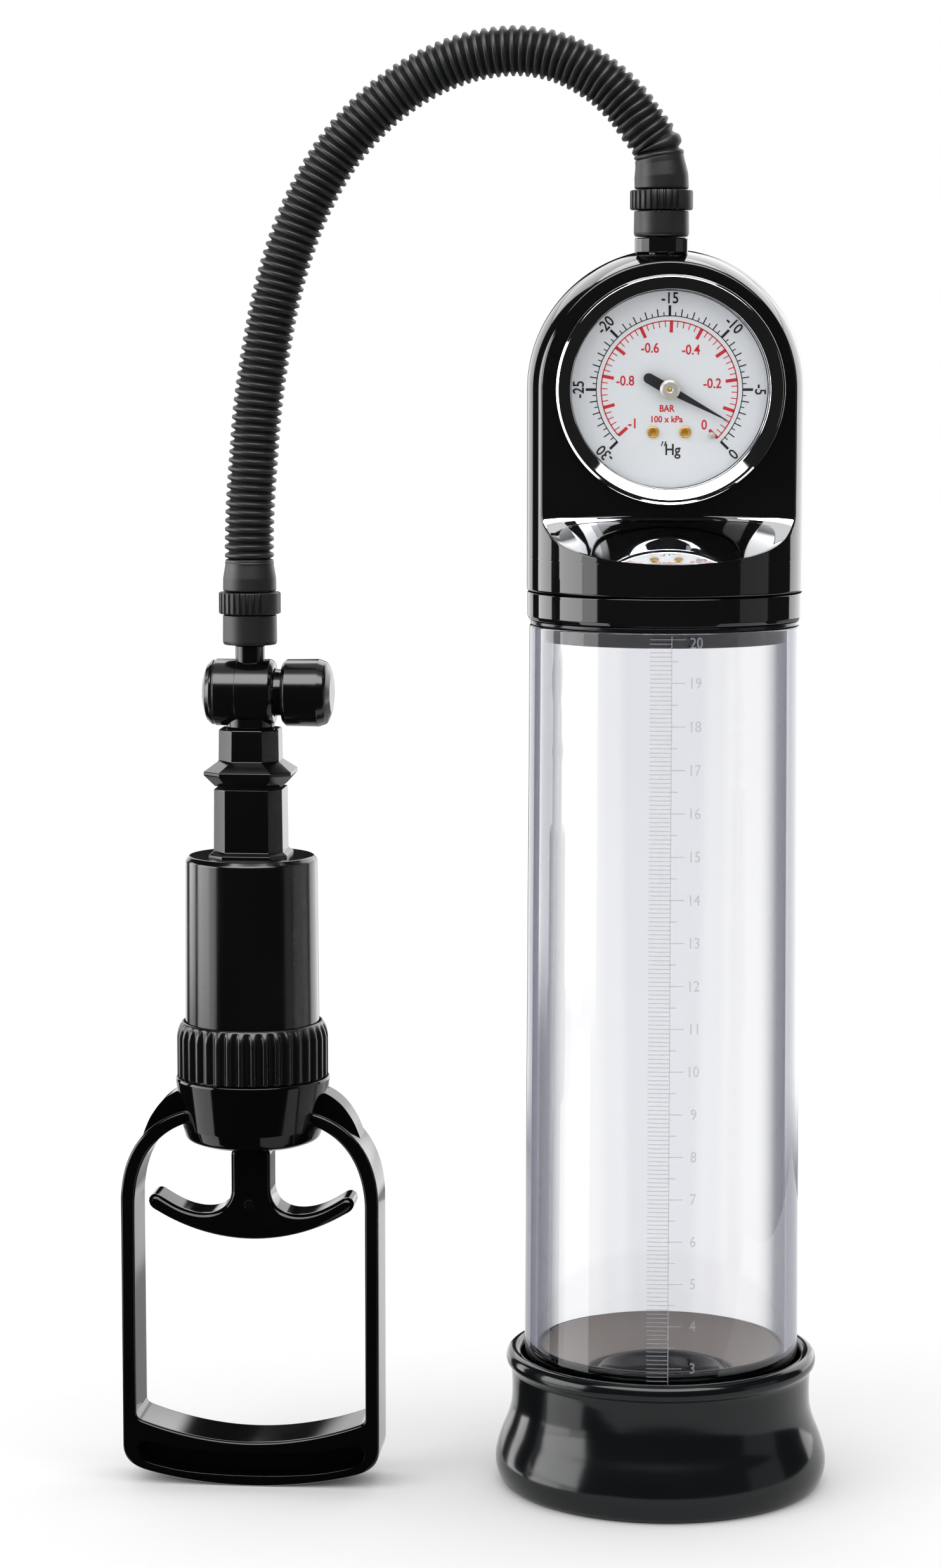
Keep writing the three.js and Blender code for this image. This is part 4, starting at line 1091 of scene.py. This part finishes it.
def make_dial_screws():
    profile = [
        (0, 14.2), (1.35, 14.2), (1.35, 15.55, 0.2), (1.05, 15.75, 0.15),
        (0.8, 15.5, 0.15), (0.55, 15.1, 0.1), (0, 15.0),
    ]
    for side in ("left", "right"):
        at = middle(f"dial_screw_{side}")
        place = Matrix.Translation((at.x, 0, at.z)) @ FACING
        piece(
            f"dial_rivet_{side}", turned(profile, 40), "brass", "root", place,
            stands_for=(f"dial_screw_{side}",),
        )
    at = middle("stop_pin")
    stop = turned([(0, 14.2), (0.8, 14.2), (0.8, 16.6, 0.3), (0.45, 17.1, 0.3), (0, 17.15)], 32)
    piece(
        "stop_post", stop, "pearl", "root",
        Matrix.Translation((at.x, 0, at.z)) @ FACING, stands_for=("stop_pin",),
    )


# ---- Fittings and hose ----
def knurled_ring(low, high, tip, root, bore, grooves, flats):
    """A ring with square grooves round it, except across its flats, given as angles in degrees."""
    per_groove = 14
    count = grooves * per_groove
    cuts = []
    for i in range(count):
        degrees = math.degrees(2 * math.pi * i / count)
        share = (i % per_groove) / per_groove
        plain = any(start <= degrees <= stop for start, stop in flats)
        cuts.append(0.0 if plain else smooth_step(0.5, 0.6, share) * (1 - smooth_step(0.9, 1.0, share)))
    edge = [(low, 0.35), (low + 0.12, 0.12), (low + 0.35, 0.0)]
    edge += [(high - 0.35, 0.0), (high - 0.12, 0.12), (high, 0.35)]
    rows = [level_ring(lambda i: tip - (tip - root) * cuts[i] - inset, z, count) for z, inset in edge]
    rows += [level_ring(bore, z, count) for z in (high, low)]
    return loft(rows, wrap=True)


def smooth_step(low, high, value):
    t = min(max((value - low) / (high - low), 0.0), 1.0)
    return t * t * (3 - 2 * t)


def make_hose_end(prefix, at_x, at_y, turn, ring_body):
    """Socket and lock ring at one end of the hose, at the CAD pieces' heights."""
    place = Matrix.Translation((at_x, at_y, 0)) @ Matrix.Rotation(turn, 4, "Z")
    low, high = (v.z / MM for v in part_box(f"{prefix}_socket"))
    socket = [
        (2.9, low, 0.2), (6.2, low, 0.45), (6.42, low + 0.8, 0.3), (6.35, high, 0.3), (2.9, high, 0.2),
    ]
    piece(
        f"{prefix}_coupling", turned(socket, 80, ring=True), "boot", "root", place,
        stands_for=(f"{prefix}_socket",),
    )
    low, high = (v.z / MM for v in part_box(f"{prefix}_lock_ring"))
    ring = knurled_ring(low, high, 7.3, 6.8, 4.1, 30, ((300, 352), (120, 172)))
    piece(
        f"{prefix}_knurled_ring", ring, "boot", ring_body, place,
        stands_for=(f"{prefix}_lock_ring",),
    )


BOOT_LENGTH = 7.4
HEAD_BOOT_BEND = math.radians(10)


def bent_point(x, z, length, bend):
    """Where a point of a straight piece goes when the piece bends towards -X as it rises."""
    if bend == 0:
        return x, z
    angle = bend * z / length
    radius = length / bend
    return (
        x * math.cos(angle) - radius * (1 - math.cos(angle)),
        x * math.sin(angle) + radius * math.sin(angle),
    )


BOOT_STEP = 0.6


def make_boot(prefix, at_x, at_y, bend):
    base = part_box(f"{prefix}_lock_ring")[1].z / MM + 0.3
    flank = [(6.1, 0.0), (6.3, 0.25, 0.2), (6.25, 3.0, 2.0), (5.75, 6.0, 1.5)]
    top = [(5.65, BOOT_LENGTH, 0.3), (4.6, BOOT_LENGTH, 0.2)]
    profile = [(4.6, 0.0), *rounded(flank + top)]
    fine = [profile[0]]
    for (r0, z0), (r1, z1) in zip(profile, profile[1:]):
        count = max(1, int(abs(z1 - z0) / BOOT_STEP))
        fine += [(r0 + (r1 - r0) * k / count, z0 + (z1 - z0) * k / count) for k in range(1, count + 1)]
    verts, faces = revolve(fine, 80, ring=True)
    bent = []
    for x, y, z in verts:
        new_x, new_z = bent_point(x, z, BOOT_LENGTH, bend)
        bent.append((new_x, y, new_z))
    place = Matrix.Translation((at_x, at_y, base))
    piece(
        f"{prefix}_strain_relief", (bent, faces), "boot", "root", place,
        stands_for=(f"{prefix}_boot",),
    )
    x, z = bent_point(0, BOOT_LENGTH, BOOT_LENGTH, bend)
    return Vector((at_x + x, at_y, base + z))


HOSE_ROUTE = [
    (PUMP_X, 0.0, 227.0),
    (PUMP_X + 0.3, 0.0, 235.5),
    (PUMP_X + 1.1, -0.1, 246.0),
    (-50.9, -0.1, 258.5),
    (-49.1, -0.3, 270.3),
    (-46.8, -0.5, 282.1),
    (-43.5, -0.7, 293.8),
    (-38.8, -1.1, 305.5),
    (-31.8, -1.7, 317.2),
    (-23.4, -2.4, 326.4),
    (-14.5, -3.2, 333.0),
    (-5.7, -3.9, 337.3),
    (3.1, -4.7, 339.6),
    (11.9, -5.4, 340.0),
    (20.7, -6.1, 338.0),
    (29.0, -6.9, 333.4),
    (34.9, -7.4, 328.0),
    (38.5, -7.8, 323.2),
    (40.7, -7.9, 320.3),
]
HOSE_CREST = 5.8
HOSE_VALLEY = 4.75
HOSE_PITCH = 2.0
STEPS_PER_RIDGE = 10


def even_points(points, step):
    """The same path with its points a step apart."""
    made = [Vector(points[0])]
    carry = 0.0
    for a, b in zip(points, points[1:]):
        a, b = Vector(a), Vector(b)
        span = (b - a).length
        at = step - carry
        while at <= span:
            made.append(a.lerp(b, at / span))
            at += step
        carry = (carry + span) % step
    return made


def ridge_radius(share):
    """The hose's radius along one ridge: a rounded crest and a narrower, flat-bottomed valley."""
    wave = 0.5 + 0.5 * math.cos(2 * math.pi * share)
    return HOSE_VALLEY + (HOSE_CREST - HOSE_VALLEY) * min(1.0, wave * 1.35) ** 0.8


def make_hose(start, stop):
    out = Vector((-math.sin(HEAD_BOOT_BEND), 0, math.cos(HEAD_BOOT_BEND)))
    inside = 1.0
    route = [start - Vector((0, 0, inside)), start, *HOSE_ROUTE, stop + out * 2.4, stop - out * inside]
    path = even_points(spline(route, 24), HOSE_PITCH / STEPS_PER_RIDGE)
    rows = []
    segments = 40
    for i, at in enumerate(path):
        ahead = path[min(i + 1, len(path) - 1)] - path[max(i - 1, 0)]
        ahead.normalize()
        across = Vector((0, 1, 0)).cross(ahead).normalized()
        upright = ahead.cross(across)
        radius = ridge_radius((i % STEPS_PER_RIDGE) / STEPS_PER_RIDGE)
        rows.append(
            [
                at + radius * (math.cos(a) * across + math.sin(a) * upright)
                for a in (2 * math.pi * k / segments for k in range(segments))
            ]
        )
    hose = piece(
        "ribbed_hose", loft(rows), "hose", "root", stands_for=("hose",), angle=60
    )


def ribbed_cone(low, high, low_radius, high_radius, bore):
    """A soft seal that widens upwards, with fine ribs round it."""
    ribs = 44
    count = ribs * 8
    waves = [0.5 - 0.5 * math.cos(ribs * (2 * math.pi * i / count)) for i in range(count)]
    layers = [(low, low_radius, 0.0), (high - 0.4, high_radius, 0.22), (high, high_radius - 0.2, 0.1)]
    rows = [level_ring(lambda i: radius - rib * waves[i], z, count) for z, radius, rib in layers]
    rows += [level_ring(bore, z, count) for z in (high, low)]
    return loft(rows, wrap=True)


def make_head_nipple():
    base = 293.6
    facets = 18
    place = Matrix.Translation((FITTING_X, FITTING_Y, 0))
    layers = [(base, 5.9), (base + 0.3, 6.2), (base + 3.3, 6.2), (base + 3.6, 5.9)]
    nut = loft([level_ring(radius, z, facets) for z, radius in layers])
    stem = revolve([(0, 287.3), (3.0, 287.3), (3.0, 294.2), (2.6, 297), (2.6, 304.0), (0, 304.0)], 48)
    piece(
        "nipple_nut", join(nut, stem), "gloss", "root", place,
        stands_for=("head_nipple",), angle=15,
    )
    piece(
        "nipple_gasket", ribbed_cone(291.4, 293.3, 4.1, 5.3, 3.4), "rubber", "root", place,
        stands_for=("nipple_seal",),
    )


# ---- Pump ----
def square_outline(width, chamfer, soft=0.5):
    half = width / 2
    flat = half - chamfer
    corners = [
        (half, -flat), (half, flat), (flat, half), (-flat, half),
        (-half, flat), (-half, -flat), (-flat, -half), (flat, -half),
    ]
    return rounded([(*corner, soft) for corner in corners], closed=True, steps=4)


def square_loft(layers):
    """A neck through chamfered squares: each layer is (height, width, chamfer)."""
    rows = [[(x, y, z) for x, y in square_outline(width, chamfer)] for z, width, chamfer in layers]
    return loft(rows)


def softened(layers, soft=0.35, steps=4):
    """Layers of a loft with the corners of their width-height profile rounded."""
    flat = rounded([(width, z, soft) for z, width, _ in layers], closed=False, steps=steps)
    made = []
    for width, z in flat:
        for (z0, _, c0), (z1, _, c1) in zip(layers, layers[1:]):
            if min(z0, z1) - 1e-6 <= z <= max(z0, z1) + 1e-6:
                t = 0 if z1 == z0 else (z - z0) / (z1 - z0)
                made.append((z, width, c0 + (c1 - c0) * t))
                break
    return made


def make_valve():
    low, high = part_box("release_button")
    upright = PUMP @ Matrix.Translation((0, 0, (low.z + high.z) / 2 / MM))
    along = upright @ ALONG_X
    body = turned(
        [
            (0, -8.3), (7.7, -8.3, 0.2), (7.7, -8.1), (7.9, -7.9, 0.1), (7.9, -3.0), (7.84, -2.9),
            (7.9, -2.8), (7.9, 5.0, 0.8), (7.2, 5.9, 0.4), (5.7, 5.9, 0.2), (5.7, 4.0), (0, 4.0),
        ],
        96,
    )
    spigot = turned([(0, 0), (3.5, 0), (3.5, 11.1, 0.2), (2.6, 11.2), (2.6, 19.0, 0.3), (0, 19.0)], 64)
    collar = turned([(0, -6.0), (5.8, -6.0), (5.8, -8.3, 0.4), (0, -8.3)], 64)
    piece(
        "valve_housing", join(moved(body, upright.inverted() @ along), spigot, collar),
        "satin", "root", upright, stands_for=("valve_body",),
    )
    cap = [(0, -11.2), (4.2, -10.95, 1.5), (6.6, -10.1, 1.2), (7.6, -9.0, 0.5), (7.7, -8.6), (0, -8.6)]
    piece(
        "valve_cap", turned(cap, 96), "satin", "root", along,
        stands_for=("valve_end_cap",),
    )
    button = [
        (0, 6.0), (5.5, 6.0, 0.1), (5.5, 7.9, 0.2), (7.1, 7.9, 0.2), (7.9, 8.8, 0.3),
        (8.0, 16.4, 1.2), (7.3, 18.4, 1.4), (4.6, 19.5, 2.0), (0, 19.8),
    ]
    piece(
        "press_button", turned(button, 96), "satin", "release", along,
        stands_for=("release_button",),
    )


def make_neck():
    upper = [
        (168.95, 15.4, 3.3), (169.0, 16.0, 3.4), (171.7, 20.8, 4.3), (172.5, 20.8, 4.3),
        (174.9, 14.4, 3.6), (182.2, 14.2, 3.6), (182.45, 13.6, 3.4),
    ]
    piece(
        "neck_collar", square_loft(softened(upper)), "satin", "root", PUMP,
        stands_for=("neck_adapter",),
    )


def make_barrel():
    lower = [
        (151.5, 18.8, 3.6), (152.7, 18.6, 3.6), (153.5, 16.5, 3.1), (168.2, 16.2, 3.0), (168.6, 15.8, 2.9),
    ]
    shell = [
        (0, 151.0), (13.8, 149.6), (13.8, 102.4, 0.2), (16.5, 102.4, 0.2), (16.5, 104.2, 0.2),
        (16.05, 104.7), (15.7, 151.0, 1.1), (14.8, 152.1, 0.6), (0, 152.2),
    ]
    piece(
        "barrel_shell", join(turned(shell, 144), square_loft(softened(lower))), "satin", "root", PUMP,
        stands_for=("barrel",),
    )


def make_nut():
    ribs = 38
    per_rib = 14
    count = ribs * per_rib
    tip, root, bore = 18.05, 16.95, 16.3
    low, high = 99.35, 112.3
    layers = [(low, 0.85), (99.6, 1.0), (108.9, 1.0), (110.3, 0.72)]
    layers += [(111.3, 0.32), (111.8, 0.0), (112.2, -0.2), (high, -0.5)]
    shares = [(i % per_rib) / per_rib for i in range(count)]
    raised = [smooth_step(0.0, 0.28, t) * (1 - smooth_step(0.5, 0.78, t)) for t in shares]
    rows = []
    for z, height in layers:
        swell, sink = max(height, 0.0), min(height, 0.0)
        rows.append(level_ring(lambda i: root + (tip - root) * (raised[i] * swell) + sink, z, count))
    rows += [level_ring(bore, z, count) for z in (high, low)]
    piece(
        "ribbed_nut", loft(rows, wrap=True), "matt", "nut", PUMP,
        stands_for=("knurled_nut",), angle=45,
    )


def bezier(a, b, c, d, steps):
    a, b, c, d = (Vector(p) for p in (a, b, c, d))
    made = []
    for i in range(steps):
        t = i / steps
        made.append(a * (1 - t) ** 3 + b * 3 * t * (1 - t) ** 2 + c * 3 * t**2 * (1 - t) + d * t**3)
    return made


def bezier_path(start, *spans):
    """Points along curves joined end to end. Each span is its two pulls, its end and its steps."""
    made = []
    for first_pull, last_pull, end, steps in spans:
        made += bezier(start, first_pull, last_pull, end, steps)
        start = end
    return [*made, Vector(start)]


def both_sides(right):
    """An outline from its right half, which ends on the middle line."""
    return [*right, *[Vector((-p.x, p.y)) for p in reversed(right[:-1])]]


GRIP_FRONT = -8.0
GRIP_SHARP = 38
PULL_SHARP = 40


def grip_half(outer):
    """Right half of the grip's rail, from inside the cup round to the middle of the bottom bar."""
    if outer:
        arch = ((9.0, 92.5), (23.0, 91.5), (30.6, 83.0), (31.0, 70.0))
        corner = ((31.0, 9.6), (31.0, 5.6), (28.4, 4.0), (24.5, 3.0))
        bar = ((17.0, 1.0), (8.0, 0.0), (0.0, 0.0))
    else:
        arch = ((9.0, 89.4), (20.5, 88.9), (27.2, 81.0), (27.7, 69.0))
        corner = ((27.7, 17.6), (27.7, 16.6), (27.2, 16.0), (26.2, 15.6))
        bar = ((18.0, 12.6), (9.0, 10.8), (0.0, 10.8))
    leg = [Vector(arch[-1]).lerp(Vector(corner[0]), i / 22) for i in range(22)]
    round_corner = bezier_path(corner[0], (*corner[1:], 12), (*bar, 22))
    return [*bezier(*arch, 26), *leg, *round_corner]


def grip_section(outer, inner):
    """One cross-section of the rail, between its outer and inner edge, with its corners rounded."""
    width = (inner - outer).length
    soft = min(0.9, width * 0.3)
    inward = (inner - outer).normalized()
    half = -GRIP_FRONT
    face = []
    for i in range(6):
        angle = math.pi / 2 * i / 5
        face.append((soft - soft * math.cos(angle), half - soft + soft * math.sin(angle)))
    for i in range(6):
        angle = math.pi / 2 * (1 - i / 5)
        face.append((width - soft + soft * math.cos(angle), half - soft + soft * math.sin(angle)))
    front = [(across, -depth) for across, depth in face]
    back = [(across, depth) for across, depth in reversed(face)]
    points = []
    for across, depth in [*front, *back]:
        at = outer + inward * across
        points.append((at.x, depth, at.y))
    return points


SLOT_HALF = 27.4
SLOT_DEPTH = 4.6


def slot_outline(grow):
    """The recess in the bottom bar: bowed like the bar, with round ends."""
    end, shoulder, turn = SLOT_HALF + grow, 20.0, 24.6
    middle_z, top_z, low_z = 8.6, 9.3 + grow, 4.2 - grow
    path = bezier_path(
        (-end, middle_z),
        ((-end, 11.2 + grow), (-turn, 10.4 + grow), (-shoulder, top_z), 8),
        ((-12.0, 7.6 + grow), (12.0, 7.6 + grow), (shoulder, top_z), 14),
        ((turn, 10.4 + grow), (end, 11.2 + grow), (end, middle_z), 8),
        ((end, 5.6 - grow), (turn, 5.2 - grow), (shoulder, low_z), 8),
        ((12.0, 2.2 - grow), (-12.0, 2.2 - grow), (-shoulder, low_z), 14),
        ((-turn, 5.2 - grow), (-end, 5.6 - grow), (-end, middle_z), 8),
    )
    return [tuple(p) for p in path[:-1]]


def slot_cutter(face, sign):
    """The slot's shape through one face of the grip, flaring a little at its mouth."""
    rows = []
    for depth, grow in ((SLOT_DEPTH, -0.25), (0.5, 0.0), (0.12, 0.14), (-0.3, 0.9)):
        rows.append([(x, face - sign * depth, z) for x, z in slot_outline(grow)])
    return loft(rows)


def make_grip():
    outer, inner = both_sides(grip_half(True)), both_sides(grip_half(False))
    rail = loft([grip_section(a, b) for a, b in zip(outer, inner)])
    cup = turned(
        [
            (3.2, 83.2), (13.4, 83.0, 1.2), (15.9, 84.0, 1.8), (16.8, 87.0, 2.0), (18.4, 98.4, 0.4),
            (18.2, 99.0, 0.3), (16.4, 99.0), (16.4, 102.0), (14.2, 102.0), (14.2, 88.6), (3.2, 88.6),
        ],
        144,
        ring=True,
    )
    half_web = [
        (14.0, 96.2), (18.1, 95.2), (21.6, 92.7), (24.2, 89.2), (25.6, 86.2),
        (26.6, 83.4), (24.0, 83.6), (20.0, 87.0), (14.0, 89.0),
    ]
    webs = []
    for side in (1, -1):
        outline = [(side * x, z) for x, z in half_web[::side]]
        bowed = spline(outline[:6], 5) + outline[6:] if side > 0 else outline[:3] + spline(outline[3:], 5)
        webs.append(prism([tuple(p) for p in bowed], -3.0, 5.5))
    piece("grip_cup", join(cup, *webs), "grip", "root", PUMP, angle=GRIP_SHARP)
    grip = piece(
        "grip_frame", rail, "grip", "root", PUMP,
        stands_for=("handle_frame",), angle=GRIP_SHARP,
    )
    cut_with(grip, slot_cutter(GRIP_FRONT, -1), PUMP)
    cut_with(grip, slot_cutter(-GRIP_FRONT, 1), PUMP)
    smooth(grip.data, GRIP_SHARP)


def pull_outline():
    """The T handle: its stem, and its bowed bar with upturned ends."""
    end, stem = 24.75, 4.75
    right = bezier_path(
        (stem, 82.1),
        ((stem, 79.0), (stem, 75.0), (stem, 72.0), 6),
        ((stem, 67.4), (8.6, 65.4), (13.6, 66.3), 12),
        ((17.0, 66.9), (19.6, 68.6), (22.2, 70.2), 8),
        ((23.4, 70.9), (24.9, 69.9), (end, 68.6), 5),
        ((24.6, 67.3), (23.6, 66.7), (22.6, 66.2), 4),
        ((16.0, 62.2), (8.0, 59.8), (0.0, 59.8), 16),
    )
    return [tuple(p) for p in both_sides(right)]


def stem_recess_outline():
    """The shallow recess in the front of the T handle: the stem, widening into the bar."""
    right = bezier_path(
        (2.6, 84.0),
        ((2.6, 79.0), (2.7, 75.5), (3.1, 73.0), 5),
        ((4.0, 68.6), (6.6, 65.8), (9.6, 64.0), 8),
        ((10.2, 63.5), (9.6, 62.9), (8.6, 62.7), 4),
        ((5.0, 62.1), (2.0, 62.0), (0.0, 62.0), 6),
    )
    return [tuple(p) for p in both_sides(right)]


PULL_FRONT = -5.5
PULL_EDGE = 1.7
RECESS_DEPTH = 0.35


def make_pull_handle():
    handle = piece(
        "t_handle", prism(pull_outline(), PULL_FRONT, -PULL_FRONT), "grip", "plunger", PUMP,
        stands_for=("pull_handle",), angle=PULL_SHARP,
    )
    bevelled(handle, PULL_EDGE, 6, 35)
    for side in (1, -1):
        mouth, floor = side * (PULL_FRONT - 1.0), side * (PULL_FRONT + RECESS_DEPTH)
        cut_with(handle, prism(stem_recess_outline(), min(mouth, floor), max(mouth, floor)), PUMP)
    smooth(handle.data, PULL_SHARP)
    dot = turned([(0, 4.9), (1.15, 4.9), (1.15, 5.22, 0.06), (0, 5.24)], 32)
    place = PUMP @ Matrix.Translation((-0.4, 0, 68.4)) @ FACING
    piece("ejector_mark", dot, "satin", "plunger", place)


# ---- Pieces of the CAD frame that only need a finish ----
CAD_FINISHES = {
    "steel": [
        "gauge_case", "pointer_shaft", "release_stem", "release_spring", "piston_rod", "return_spring",
    ],
    "brass": [
        "sector_gear", "movement_back_plate", "movement_front_plate", "plate_post_left",
        "plate_post_right", "bourdon_tube", "gauge_inlet", "rod_bush",
    ],
    "rubber": ["stem_seal", "inlet_check_valve", "piston_seal", "piston_check_flap"],
    "matt": ["piston"],
}


def finish_cad_nodes():
    for finish, names in CAD_FINISHES.items():
        for name in names:
            cad = frame["nodes"][name]
            cad.data.materials.clear()
            cad.data.materials.append(MATERIALS[finish])
            smooth(cad.data, 32)


make_studio()
start = make_boot("pump", PUMP_X, PUMP_Y, 0.0)
stop = make_boot("head", FITTING_X, FITTING_Y, HEAD_BOOT_BEND)
make_hose(start, stop)
make_tube()
make_ruler()
make_sleeve()
make_gasket()
make_base_ring()
make_head()
make_bezel()
make_dial_print()
make_pointer()
make_dial_screws()
make_hose_end("head", FITTING_X, FITTING_Y, 0.0, "head_ring")
make_hose_end("pump", PUMP_X, PUMP_Y, PUMP_TURN, "pump_ring")
make_head_nipple()
make_valve()
make_neck()
make_barrel()
make_nut()
make_grip()
make_pull_handle()
finish_cad_nodes()
weigh_normals()
